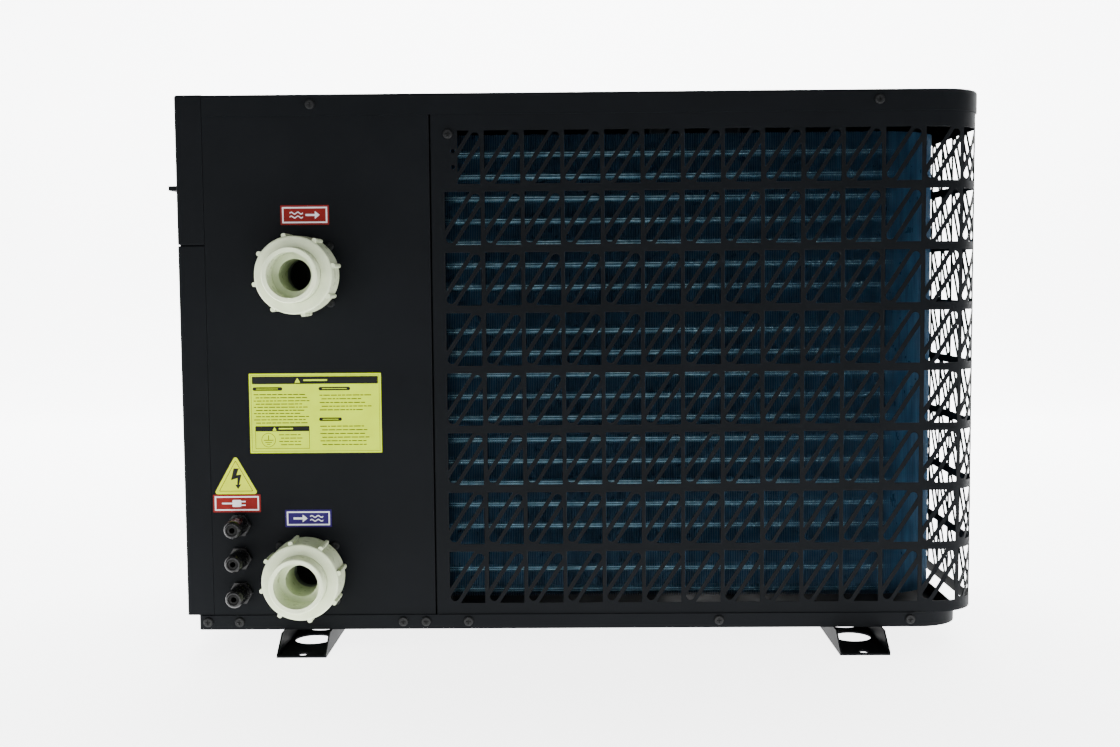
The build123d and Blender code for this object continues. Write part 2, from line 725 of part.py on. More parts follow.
for number, z in enumerate(gland_heights, 1):
    with BuildPart() as gland_nut:
        with BuildSketch(Plane.XY.offset(z)):
            base_y = -half_depth - 7
            tip_y = -half_depth - 38
            with BuildLine():
                Polyline((gland_x + 8.4, base_y), (gland_x + 10.5, base_y), (gland_x + 10.5, tip_y + 6))
                dome = RadiusArc((gland_x + 10.5, tip_y + 6), (gland_x + 7.6, tip_y), 7)
                Polyline(dome @ 1, (gland_x + 6.3, tip_y), (gland_x + 6.3, tip_y + 4),
                         (gland_x + 8.4, tip_y + 9), (gland_x + 8.4, base_y))
            make_face()
        revolve(axis=Axis((gland_x, 0, z), (0, 1, 0)))
        with BuildSketch(rear_plane(gland_x, z, base_y)):
            with PolarLocations(10.5, 12):
                Circle(0.7)
        extrude(amount=18, mode=Mode.SUBTRACT)
    finish(gland_nut, f"gland_nut_{number}")
    with BuildPart() as gland_seal:
        with BuildSketch(Plane.XY.offset(z)):
            with BuildLine():
                Polyline((gland_x + 3.2, tip_y + 1), (gland_x + 5.8, tip_y + 1), (gland_x + 5.8, tip_y + 5),
                         (gland_x + 6.2, tip_y + 9), (gland_x + 6.2, tip_y + 22), (gland_x + 3.2, tip_y + 22),
                         close=True)
            make_face()
        revolve(axis=Axis((gland_x, 0, z), (0, 1, 0)))
    finish(gland_seal, f"gland_seal_{number}")

# --- Labels -----------------------------------------------------------------------------------------

label_thickness = 0.25
instruction_sheet = (-377.5, -227.0, 226.0, 317.0)
hazard_triangle = ((-421.0, 179.2), (-369.7, 179.2), (-395.2, 224.2))
power_label = (-422.0, -367.4, 158.0, 178.5)
outlet_label = (-337.2, -282.4, 485.0, 507.0)
inlet_label = (-339.6, -286.3, 140.5, 160.5)

with BuildPart() as rear_labels:
    with BuildSketch(Plane.XZ.offset(half_depth)):
        for x0, x1, z0, z1 in (instruction_sheet, outlet_label, inlet_label, power_label):
            rect_between(x0, x1, z0, z1)
        Polygon(*hazard_triangle, align=None)
    extrude(amount=label_thickness)
finish(rear_labels, "rear_labels")

# --- Screws -----------------------------------------------------------------------------------------


def pan_screw(head_radius, head_height, shank_radius, shank_length):
    """A pan-head screw at the origin, its head's seat on XY and its shank along -Z."""
    with BuildPart() as screw:
        with BuildSketch():
            Circle(head_radius)
        extrude(amount=head_height)
        fillet(screw.faces().sort_by(Axis.Z)[-1].edges(), head_height * 0.6)
        with BuildSketch(Plane.XY.offset(head_height)):
            Rectangle(head_radius, head_radius / 5)
            Rectangle(head_radius / 5, head_radius)
        extrude(amount=-head_height * 0.6, mode=Mode.SUBTRACT)
        with BuildSketch():
            Circle(shank_radius)
        extrude(amount=-shank_length)
    return screw.part


case_screw = pan_screw(5.5, 2.6, screw_shank, 7)
flange_screw = pan_screw(4.6, 2.6, 2.1, 10)
end_screw = pan_screw(5.5, 2.6, screw_shank, 6)
grille_screw = pan_screw(4.0, 2.2, screw_shank, 27)

with BuildPart() as casing_screws:
    with Locations(*[rear_plane(x, base_screw_z, -pan_half_depth) for x in rear_base_screws]):
        add(case_screw)
    with Locations(*[front_plane(x, base_screw_z, pan_half_depth) for x in front_base_screws]):
        add(case_screw)
    with Locations(*[rear_plane(x, cover_screw_z, -pan_half_depth) for x in cover_screws]):
        add(case_screw)
    with Locations(*[front_plane(x, cover_screw_z, pan_half_depth) for x in cover_screws]):
        add(case_screw)
    with Locations(rear_plane(-147.1, 585)):
        add(case_screw)
    with Locations(*[front_plane(x, z, grille_rear + grille_thickness) for x, z in grille_screw_points]):
        add(grille_screw)
finish(casing_screws, "casing_screws")

with BuildPart() as end_cover_screws:
    with Locations(*[left_plane(y, z) for y, z in end_screws_lower + end_screws_upper]):
        add(end_screw)
finish(end_cover_screws, "end_cover_screws")

with BuildPart() as union_screws:
    with Locations(*[rear_plane(x, z) for x, z in union_screw_points]):
        add(flange_screw)
finish(union_screws, "union_screws")

# --- Fan, motor and bracket -------------------------------------------------------------------------

fan_axis = Axis((fan_x, 0, fan_z), (0, 1, 0))
blade_y = 132.0
hub_rear = 100.0
hub_front = 164.0
# Distance from the axis, chord, pitch from the plane of rotation
blade_sections = ((42, 84, 38), (130, 150, 28), (226, 190, 20))

with BuildPart() as blade:
    for radius, chord, pitch in blade_sections:
        chord_direction = (0, sin(radians(pitch)), cos(radians(pitch)))
        with BuildSketch(Plane((fan_x + radius, blade_y, fan_z), x_dir=chord_direction, z_dir=(1, 0, 0))):
            Ellipse(chord / 2, 2.6)
    loft()

with BuildPart() as fan_blades:
    with BuildSketch(Plane.XZ.offset(-hub_rear)):
        with Locations((fan_x, fan_z)):
            Circle(hub_radius)
    extrude(amount=hub_rear - hub_front)
    for turn in range(blade_count):
        add(blade.part.rotate(fan_axis, turn * 360 / blade_count))
    with BuildSketch(Plane.XZ.offset(-hub_rear + 5)):
        with Locations((fan_x, fan_z)):
            Circle(hub_radius - 4)
            Circle(16, mode=Mode.SUBTRACT)
    extrude(amount=hub_rear - hub_front - 1, mode=Mode.SUBTRACT)
    with BuildSketch(Plane.XZ.offset(-hub_rear)):
        with Locations((fan_x, fan_z)):
            Circle(shaft_radius + 0.02)
    extrude(amount=hub_rear - hub_front, mode=Mode.SUBTRACT)
    with BuildSketch(Plane.XZ.offset(-60)):
        with Locations((fan_x, fan_z)):
            Circle(fan_radius)
    extrude(amount=-140, mode=Mode.INTERSECT)
finish(fan_blades, "fan_blades")

with BuildPart() as motor_shaft:
    with BuildSketch(Plane.XZ.offset(-50)):
        with Locations((fan_x, fan_z)):
            Circle(shaft_radius)
    extrude(amount=-125)
finish(motor_shaft, "motor_shaft")

with BuildPart() as fan_nut:
    with BuildSketch(Plane.XZ.offset(-hub_front)):
        with Locations((fan_x, fan_z)):
            RegularPolygon(9, 6)
            Circle(shaft_radius + 0.02, mode=Mode.SUBTRACT)
    extrude(amount=-7)
finish(fan_nut, "fan_nut")

with BuildPart() as fan_motor:
    with BuildSketch(Plane.XZ.offset(-4)):
        with Locations((fan_x, fan_z)):
            Circle(58)
            with PolarLocations(66, 4, start_angle=45):
                RectangleRounded(26, 18, 4)
    extrude(amount=-6)
    with BuildSketch(Plane.XZ.offset(-10)):
        with Locations((fan_x, fan_z)):
            Circle(56)
            with PolarLocations(56, 24):
                Rectangle(6, 3)
    extrude(amount=-62)
    with BuildSketch(Plane.XZ.offset(-72)):
        with Locations((fan_x, fan_z)):
            Circle(22)
    extrude(amount=-16)
    with BuildSketch(Plane.XZ.offset(-49)):
        with Locations((fan_x, fan_z)):
            Circle(shaft_radius + 0.05)
    extrude(amount=-45, mode=Mode.SUBTRACT)
finish(fan_motor, "fan_motor")

with BuildPart() as motor_bracket:
    for side in (-1, 1):
        x = fan_x + side * 46
        with BuildSketch(Plane.XY.offset(pan_floor)):
            rect_between(x - 10, x + 10, 1.8, 3.8)
            rect_between(x + side * 9 - 1, x + side * 9 + 1, -12, 3.8)
        extrude(amount=top_z - cover_sheet - 3 - pan_floor)
    with BuildSketch(Plane.XZ.offset(-1.8)):
        for z in (fan_z - 46, fan_z + 46):
            with Locations((fan_x, z)):
                Rectangle(110, 24)
    extrude(amount=-2)
finish(motor_bracket, "motor_bracket")

with BuildPart() as partition:
    with BuildSketch(Plane.XY.offset(pan_floor)):
        rect_between(partition_x - sheet / 2, partition_x + sheet / 2, -half_depth + 8, half_depth - 8)
    extrude(amount=top_z - cover_sheet - 3 - pan_floor)
    with BuildSketch(Plane.YZ.offset(partition_x - 2)):
        with Locations((-84, 350)):
            Circle(12)
    extrude(amount=4, mode=Mode.SUBTRACT)
finish(partition, "partition")

# --- Evaporator -------------------------------------------------------------------------------------

with BuildPart() as evaporator_fins:
    with BuildSketch(Plane.XY.offset(coil_bottom)) as coil_plan:
        with BuildLine():
            Polyline((coil_left, coil_rear), (coil_right, coil_rear), (coil_right, coil_front_end),
                     (coil_right - coil_depth, coil_front_end),
                     (coil_right - coil_depth, coil_rear + coil_depth),
                     (coil_left, coil_rear + coil_depth), close=True)
        make_face()
        fillet(coil_plan.vertices().sort_by_distance((coil_right, coil_rear, coil_bottom))[0], coil_bend)
        inner_corner = (coil_right - coil_depth, coil_rear + coil_depth, coil_bottom)
        fillet(coil_plan.vertices().sort_by_distance(inner_corner)[0], coil_bend - coil_depth)
    extrude(amount=coil_height)
finish(evaporator_fins, "evaporator_fins")

plate_gap = 0.2
plate_sheet = 1.2
plate_left = coil_left - plate_gap - plate_sheet
plate_front = coil_front_end + plate_gap

with BuildPart() as coil_end_plates:
    with BuildSketch(Plane.XY.offset(pan_floor)):
        rect_between(plate_left, plate_left + plate_sheet, coil_rear - 2, coil_rear + coil_depth + 2)
        rect_between(coil_right - coil_depth - 2, coil_right + 2, plate_front, plate_front + plate_sheet)
    extrude(amount=coil_bottom + coil_height + 2 - pan_floor)
finish(coil_end_plates, "coil_end_plates")

with BuildPart() as return_bend:
    with BuildSketch(Plane.YZ):
        with Locations((0, tube_pitch / 2)):
            Circle(tube_radius)
    revolve(axis=Axis.Y, revolution_arc=180)
bend_direction = return_bend.part.center().X
bend_turn = 0 if bend_direction < 0 else 180

left_bends = []
front_bends = []
for row_y, lift in zip(coil_rows, coil_row_lifts):
    for pair in range(tube_levels // 2):
        bend_z = coil_bottom + lift + (2 * pair + 0.5) * tube_pitch
        left_bends.append(Location((plate_left, row_y, bend_z), (0, 0, bend_turn)))
        side_x = coil_right - (row_y - coil_rear)
        front_bends.append(Location((side_x, plate_front + plate_sheet, bend_z + tube_pitch),
                                    (0, 0, bend_turn - 90)))

with BuildPart() as return_bends:
    for place in left_bends + front_bends:
        add(return_bend.part.moved(place))
finish(return_bends, "return_bends")

# --- Compressor and accumulator ---------------------------------------------------------------------

with BuildPart() as compressor:
    with BuildSketch(Plane.XZ):
        with BuildLine():
            Line((0, 32), (30, 32))
            RadiusArc((30, 32), (compressor_radius, 56), -38)
            Line((compressor_radius, 56), (compressor_radius, compressor_top - 34))
            RadiusArc((compressor_radius, compressor_top - 34), (20, compressor_top), -42)
            Line((20, compressor_top), (0, compressor_top))
            Line((0, compressor_top), (0, 32))
        make_face()
    revolve(axis=Axis.Z)
    with BuildSketch(Plane.XY.offset(mount_plate_z)):
        for angle in mount_angles:
            with PolarLocations(mount_circle, 1, start_angle=angle):
                Circle(15)
        make_hull()
        with PolarLocations(mount_circle, 3, start_angle=mount_angles[0]):
            Circle(4.6, mode=Mode.SUBTRACT)
    extrude(amount=4)
    with BuildSketch(Plane.XY.offset(compressor_top - 4)):
        Circle(14)
    extrude(amount=10)
compressor.part.position = (compressor_x, compressor_y, 0)
finish(compressor, "compressor")

with BuildPart() as compressor_grommets:
    with BuildSketch(Plane.XY.offset(pan_floor)):
        with Locations(*mount_points):
            Circle(13)
            Circle(4.5, mode=Mode.SUBTRACT)
    extrude(amount=mount_plate_z - pan_floor)
    with BuildSketch(Plane.XY.offset(mount_plate_z + 4)):
        with Locations(*mount_points):
            Circle(9)
            Circle(4.5, mode=Mode.SUBTRACT)
    extrude(amount=2)
finish(compressor_grommets, "compressor_grommets")

with BuildPart() as accumulator:
    with BuildSketch(Plane.XY.offset(80)):
        Circle(accumulator_radius)
    extrude(amount=210)
    fillet(accumulator.faces().sort_by(Axis.Z)[-1].edges(), 18)
    fillet(accumulator.faces().sort_by(Axis.Z)[0].edges(), 18)
accumulator.part.position = (accumulator_x, accumulator_y, 0)
finish(accumulator, "accumulator")

# --- Water heat exchanger ---------------------------------------------------------------------------

with BuildPart() as exchanger_shell:
    with BuildSketch(Plane.XY.offset(exchanger_bottom)):
        with Locations((union_x, exchanger_y)):
            Circle(exchanger_radius)
    extrude(amount=exchanger_top - exchanger_bottom)
    stub_end = -half_depth + sheet + 0.1 + flange_thickness
    for x, z in union_centres:
        with BuildSketch(rear_plane(x, z, stub_end)):
            Circle(30)
        extrude(amount=stub_end - exchanger_y)
    with BuildSketch(Plane.XY.offset(exchanger_bottom)):
        with Locations((union_x, exchanger_y)):
            Circle(exchanger_radius - exchanger_wall)
    extrude(amount=exchanger_top - exchanger_bottom, mode=Mode.SUBTRACT)
    for x, z in union_centres:
        with BuildSketch(rear_plane(x, z, stub_end)):
            Circle(water_bore)
        extrude(amount=stub_end - exchanger_y, mode=Mode.SUBTRACT)
finish(exchanger_shell, "exchanger_shell")

cap_wall = 4.0
cap_skirt = 18.0

with BuildPart() as exchanger_caps:
    for z0, z_skirt in ((exchanger_bottom - cap_wall, exchanger_bottom),
                        (exchanger_top, exchanger_top - cap_skirt)):
        with BuildSketch(Plane.XY.offset(z0)):
            with Locations((union_x, exchanger_y)):
                Circle(exchanger_radius + cap_wall)
        extrude(amount=cap_wall)
        with BuildSketch(Plane.XY.offset(z_skirt)):
            with Locations((union_x, exchanger_y)):
                Circle(exchanger_radius + cap_wall)
                Circle(exchanger_radius + 0.1, mode=Mode.SUBTRACT)
        extrude(amount=cap_skirt)
finish(exchanger_caps, "exchanger_caps")

coil_turns = 12
turn_pitch = 22.0

with BuildPart() as titanium_coil:
    for turn in range(coil_turns):
        with BuildSketch(rear_plane(union_x, 140 + turn * turn_pitch, exchanger_y)):
            with Locations((42, 0)):
                Circle(8)
        revolve(axis=Axis((union_x, exchanger_y, 0), (0, 0, 1)))
    with BuildSketch(Plane.XY.offset(120)):
        with Locations((union_x, exchanger_y)):
            Circle(6)
    extrude(amount=300)
finish(titanium_coil, "titanium_coil")

with BuildPart() as flow_switch:
    switch_x = union_x - exchanger_radius
    with BuildSketch(Plane((switch_x, exchanger_y, 300), x_dir=(0, 1, 0), z_dir=(-1, 0, 0))):
        RegularPolygon(11, 6)
    extrude(amount=8)
    with BuildSketch(Plane((switch_x - 8, exchanger_y, 300), x_dir=(0, 1, 0), z_dir=(-1, 0, 0))):
        Circle(10)
    extrude(amount=24)
finish(flow_switch, "flow_switch")

# --- Valves and refrigerant pipes -------------------------------------------------------------------

valve_x = -300.0
valve_y = 60.0
valve_z = 415.0

with BuildPart() as four_way_valve:
    with BuildSketch(Plane((valve_x - 45, valve_y, valve_z), x_dir=(0, 1, 0), z_dir=(1, 0, 0))):
        Circle(14)
    extrude(amount=90)
    with BuildSketch(Plane.XY.offset(valve_z)):
        with Locations((valve_x, valve_y)):
            Circle(7)
    extrude(amount=24)
    with BuildSketch(Plane.XY.offset(valve_z - 26)):
        with Locations(*[(valve_x + dx, valve_y) for dx in (-26, 0, 26)]):
            Circle(7)
    extrude(amount=26)
    with BuildSketch(Plane((valve_x - 20, valve_y + 24, valve_z), x_dir=(0, 1, 0), z_dir=(1, 0, 0))):
        Circle(5)
        rect_between(-14, 0, -4, 4)
    extrude(amount=40)
finish(four_way_valve, "four_way_valve")

expansion_x = -212.0
expansion_y = -30.0

with BuildPart() as expansion_valve:
    with BuildSketch(Plane.XY.offset(280)):
        with Locations((expansion_x, expansion_y)):
            Circle(9)
    extrude(amount=32)
    with BuildSketch(Plane.XY.offset(312)):
        with Locations((expansion_x, expansion_y)):
            Circle(16)
    extrude(amount=28)
    fillet(expansion_valve.faces().sort_by(Axis.Z)[-1].edges(), 4)
finish(expansion_valve, "expansion_valve")


def pipe_run(points, radius, bend):
    """A pipe through the points, its corners bent to one radius."""
    with BuildPart() as run:
        with BuildLine() as route:
            FilletPolyline(*points, radius=bend)
        with BuildSketch(Plane(route.line @ 0, z_dir=route.line % 0)):
            Circle(radius)
        sweep()
    return run.part


port_z = valve_z - 26
header_x = -163.0
header_y = -88.0
discharge_pipe = pipe_run([(compressor_x, compressor_y, compressor_top + 6),
                           (compressor_x, compressor_y, 465), (valve_x, valve_y, 465),
                           (valve_x, valve_y, valve_z + 24)], 5, 14)
suction_pipe = pipe_run([(valve_x, valve_y, port_z), (valve_x, valve_y, 360),
                         (accumulator_x, accumulator_y, 360), (accumulator_x, accumulator_y, 290)], 6, 18)
exchanger_pipe = pipe_run([(valve_x - 26, valve_y, port_z), (valve_x - 26, valve_y, 340),
                           (valve_x - 26, -26, 340)], 6, 18)
evaporator_pipe = pipe_run([(valve_x + 26, valve_y, port_z), (valve_x + 26, valve_y, 372),
                            (-230, -30, 372), (-200, -84, 350), (header_x - 8, -84, 350)], 6, 10)
to_accumulator = Vector(accumulator_x - compressor_x, accumulator_y - compressor_y).normalized()
inlet_point = Vector(compressor_x, compressor_y, 62) + to_accumulator * (compressor_radius + 0.8)
return_pipe = pipe_run([(accumulator_x, accumulator_y, 80), (accumulator_x, accumulator_y, 62),
                        inlet_point], 6, 10)
liquid_pipe = pipe_run([(union_x + 10, -27, 150), (union_x + 10, 0, 150), (expansion_x, 0, 150),
                        (expansion_x, expansion_y, 180), (expansion_x, expansion_y, 280)], 4.5, 10)

with BuildPart() as refrigerant_pipes:
    add([discharge_pipe, suction_pipe, exchanger_pipe, evaporator_pipe, return_pipe, liquid_pipe])
    with BuildSketch(Plane.XY.offset(90)):
        with Locations((header_x, header_y)):
            Circle(8)
    extrude(amount=470)
finish(refrigerant_pipes, "refrigerant_pipes")

# --- Electrical box and board -----------------------------------------------------------------------

with BuildPart() as electrical_box:
    with BuildSketch(Plane.XY.offset(box_bottom)):
        rect_between(-418, -184, -160, 160)
    extrude(amount=100)
    offset(amount=-1.2, openings=electrical_box.faces().sort_by(Axis.Z)[-1])
finish(electrical_box, "electrical_box")

board_z = box_bottom + 10
relay_places = [(-390, -110 + k * 34) for k in range(4)]
capacitor_places = [(-222, -90 + k * 40) for k in range(4)]

with BuildPart() as control_board:
    with BuildSketch(Plane.XY.offset(board_z)):
        rect_between(-408, -194, -140, 140)
    extrude(amount=1.6)
    with BuildSketch(Plane.XY.offset(box_bottom + 1.2)):
        with Locations(*[(x, y) for x in (-400, -202) for y in (-132, 132)]):
            Circle(4)
    extrude(amount=board_z - box_bottom - 1.2)
    with BuildSketch(Plane.XY.offset(board_z + 1.6)):
        with Locations(*relay_places):
            Rectangle(20, 26)
    extrude(amount=18)
    with BuildSketch(Plane.XY.offset(board_z + 1.6)):
        with Locations(*capacitor_places):
            Circle(15)
    extrude(amount=42)
    with BuildSketch(Plane.XY.offset(board_z + 1.6)):
        for fin in range(9):
            with Locations((-330 + fin * 9, 40)):
                Rectangle(3, 120)
        with Locations((-294, -90)):
            Rectangle(60, 22)
    extrude(amount=30)
finish(control_board, "control_board")

# --- Controller -------------------------------------------------------------------------------------

ear_x = control_width / 2 - 3
with BuildPart() as control_bezel:
    with BuildSketch(front_plane(control_x, control_z, half_depth + 0.1)):
        RectangleRounded(control_width, control_height, 8)
    extrude(amount=control_face - half_depth - 0.1)
    fillet(control_bezel.faces().sort_by(Axis.Y)[-1].edges(), 2)
    with BuildSketch(front_plane(control_x, control_z, half_depth - 12)):
        Rectangle(control_width - 41, control_height - 25)
    extrude(amount=13)
    with BuildSketch(front_plane(control_x, control_z, half_depth - 12)):
        Rectangle(control_width - 46, control_height - 30)
    extrude(amount=18, mode=Mode.SUBTRACT)
    with BuildSketch(Plane.XZ.offset(-control_face)):
        with Locations((control_x - 28, control_z)):
            Rectangle(76, 46)
    extrude(amount=2, mode=Mode.SUBTRACT)
    with BuildSketch(Plane.XZ.offset(-half_depth)):
        with Locations(*zip(button_xs, button_zs)):
            Circle(button_radius + 0.35)
    extrude(amount=-20, mode=Mode.SUBTRACT)
    for side in (-1, 1):
        with BuildSketch(Plane.YZ.offset(control_x + side * ear_x - 2.5)):
            rect_between(half_depth + 2, hinge_y + 3.5, hinge_z - 3.5, hinge_z + 3.5)
            with Locations((hinge_y, hinge_z)):
                Circle(1.75, mode=Mode.SUBTRACT)
        extrude(amount=5)
finish(control_bezel, "control_bezel")

with BuildPart() as control_lens:
    with BuildSketch(Plane.XZ.offset(-control_face)):
        with Locations((control_x - 28, control_z)):
            Rectangle(75.4, 45.4)
    extrude(amount=1.9)
finish(control_lens, "control_lens")

for number, (x, z) in enumerate(zip(button_xs, button_zs), 1):
    with BuildPart() as button:
        with BuildSketch(Plane.XZ.offset(-half_depth - 3)):
            with Locations((x, z)):
                Circle(button_radius)
        extrude(amount=-8.6)
        fillet(button.faces().sort_by(Axis.Y)[-1].edges(), 0.8)
        with BuildSketch(Plane.XZ.offset(-half_depth - 3)):
            with Locations((x, z)):
                Circle(button_radius + 0.9)
        extrude(amount=-2)
    finish(button, f"button_{number}")

with BuildPart() as control_cover:
    barrel_half = ear_x - 2.5 - 0.6
    with BuildSketch(Plane.YZ.offset(control_x - barrel_half)):
        with Locations((hinge_y, hinge_z)):
            Circle(3)
    extrude(amount=2 * barrel_half)
    with BuildSketch(Plane.YZ.offset(control_x - barrel_half - 3)):
        with Locations((hinge_y, hinge_z)):
            Circle(1.65)
    extrude(amount=2 * barrel_half + 6)
    with BuildSketch(Plane.YZ.offset(control_x - barrel_half)):
        rect_between(hinge_y - 0.5, hinge_y + 1.7, control_z - control_height / 2 + 2, hinge_z)
    extrude(amount=2 * barrel_half)
    with BuildSketch(Plane.YZ.offset(control_x - 12)):
        bottom_z = control_z - control_height / 2 + 2
        rect_between(hinge_y - 0.5, hinge_y + 6, bottom_z, bottom_z + 2)
    extrude(amount=24)
finish(control_cover, "control_cover")
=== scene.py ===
import json
import math
import random

import bmesh
import bpy
from mathutils import Matrix, Vector


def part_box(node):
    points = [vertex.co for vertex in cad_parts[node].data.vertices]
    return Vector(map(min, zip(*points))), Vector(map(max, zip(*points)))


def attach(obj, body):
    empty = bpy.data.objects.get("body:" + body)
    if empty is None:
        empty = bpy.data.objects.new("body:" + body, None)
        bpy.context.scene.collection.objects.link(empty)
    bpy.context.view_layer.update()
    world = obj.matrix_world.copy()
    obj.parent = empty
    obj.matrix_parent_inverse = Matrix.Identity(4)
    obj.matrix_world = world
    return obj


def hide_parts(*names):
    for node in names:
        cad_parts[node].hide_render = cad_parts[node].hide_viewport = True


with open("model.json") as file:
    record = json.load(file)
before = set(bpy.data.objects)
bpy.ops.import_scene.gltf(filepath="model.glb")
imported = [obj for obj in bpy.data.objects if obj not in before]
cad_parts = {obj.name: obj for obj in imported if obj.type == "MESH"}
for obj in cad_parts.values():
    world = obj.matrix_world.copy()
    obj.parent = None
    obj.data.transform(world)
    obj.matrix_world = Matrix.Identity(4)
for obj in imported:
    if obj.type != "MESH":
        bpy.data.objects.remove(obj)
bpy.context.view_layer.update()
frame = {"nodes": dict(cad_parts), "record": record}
nodes = frame["nodes"]
MM = 0.001                   # one millimetre, in metres
turn = 2 * math.pi           # a full turn

# --- Materials --------------------------------------------------------------------------------------
# Texture coordinates are in metres, so a noise scale of 1000 makes grain about 1 mm across. The studio's
# floor glows several times brighter than white paper, so the black finishes are darker than in daylight.


class Finish:
    """A procedural material built up from a Principled shader."""

    def __init__(self, name, color, roughness, metallic=0.0, **sockets):
        self.material = bpy.data.materials.new(name)
        self.material.use_nodes = True
        self.tree = self.material.node_tree
        self.shader = self.tree.nodes["Principled BSDF"]
        self.shader.inputs["Base Color"].default_value = (*color, 1)
        self.shader.inputs["Roughness"].default_value = roughness
        self.shader.inputs["Metallic"].default_value = metallic
        for socket, value in sockets.items():
            self.shader.inputs[socket.replace("_", " ")].default_value = value
        self.coordinates = self.tree.nodes.new("ShaderNodeTexCoord").outputs["Object"]
        self.last_normal = None

    def node(self, kind, **values):
        """Add a node. Each keyword is an input socket, with _ for a space."""
        made = self.tree.nodes.new(kind)
        for socket, value in values.items():
            made.inputs[socket.replace("_", " ")].default_value = value
        return made

    def link(self, source, target):
        self.tree.links.new(source, target)

    def noise(self, scale, detail, stretch):
        mapping = self.node("ShaderNodeMapping", Scale=stretch)
        texture = self.node("ShaderNodeTexNoise", Scale=scale, Detail=detail)
        self.link(self.coordinates, mapping.inputs["Vector"])
        self.link(mapping.outputs["Vector"], texture.inputs["Vector"])
        return texture.outputs["Fac"]

    def spangle(self, dark, light, scale):
        """Colour the surface in crystal-like cells, as on galvanised sheet."""
        texture = self.node("ShaderNodeTexVoronoi", Scale=scale)
        self.link(self.coordinates, texture.inputs["Vector"])
        self.link(self.ramp(texture.outputs["Color"], 0.1, 0.9, (dark, light)),
                  self.shader.inputs["Base Color"])
        return self

    def ramp(self, source, low, high, values):
        """Spread source from low..high over the two values, colours or numbers."""
        ramp = self.tree.nodes.new("ShaderNodeValToRGB")
        ramp.color_ramp.elements[0].position = low
        ramp.color_ramp.elements[1].position = high
        for element, value in zip(ramp.color_ramp.elements, values):
            element.color = (*value, 1) if isinstance(value, tuple) else (value, value, value, 1)
        self.link(source, ramp.inputs["Fac"])
        return ramp.outputs["Color"]

    def color_between(self, dark, light, scale, stretch=(1, 1, 1)):
        self.link(self.ramp(self.noise(scale, 4.0, stretch), 0.35, 0.65, (dark, light)),
                  self.shader.inputs["Base Color"])
        return self

    def roughness_between(self, smooth, rough, scale, stretch=(1, 1, 1)):
        self.link(self.ramp(self.noise(scale, 3.0, stretch), 0.3, 0.7, (smooth, rough)),
                  self.shader.inputs["Roughness"])
        return self

    def bump(self, scale, depth_mm, stretch=(1, 1, 1)):
        """Add grain of a given depth to the surface, on top of the grain that is there."""
        bump = self.node("ShaderNodeBump", Strength=1.0, Distance=depth_mm * MM)
        self.link(self.noise(scale, 3.0, stretch), bump.inputs["Height"])
        if self.last_normal:
            self.link(self.last_normal, bump.inputs["Normal"])
        self.last_normal = bump.outputs["Normal"]
        self.link(self.last_normal, self.shader.inputs["Normal"])
        return self


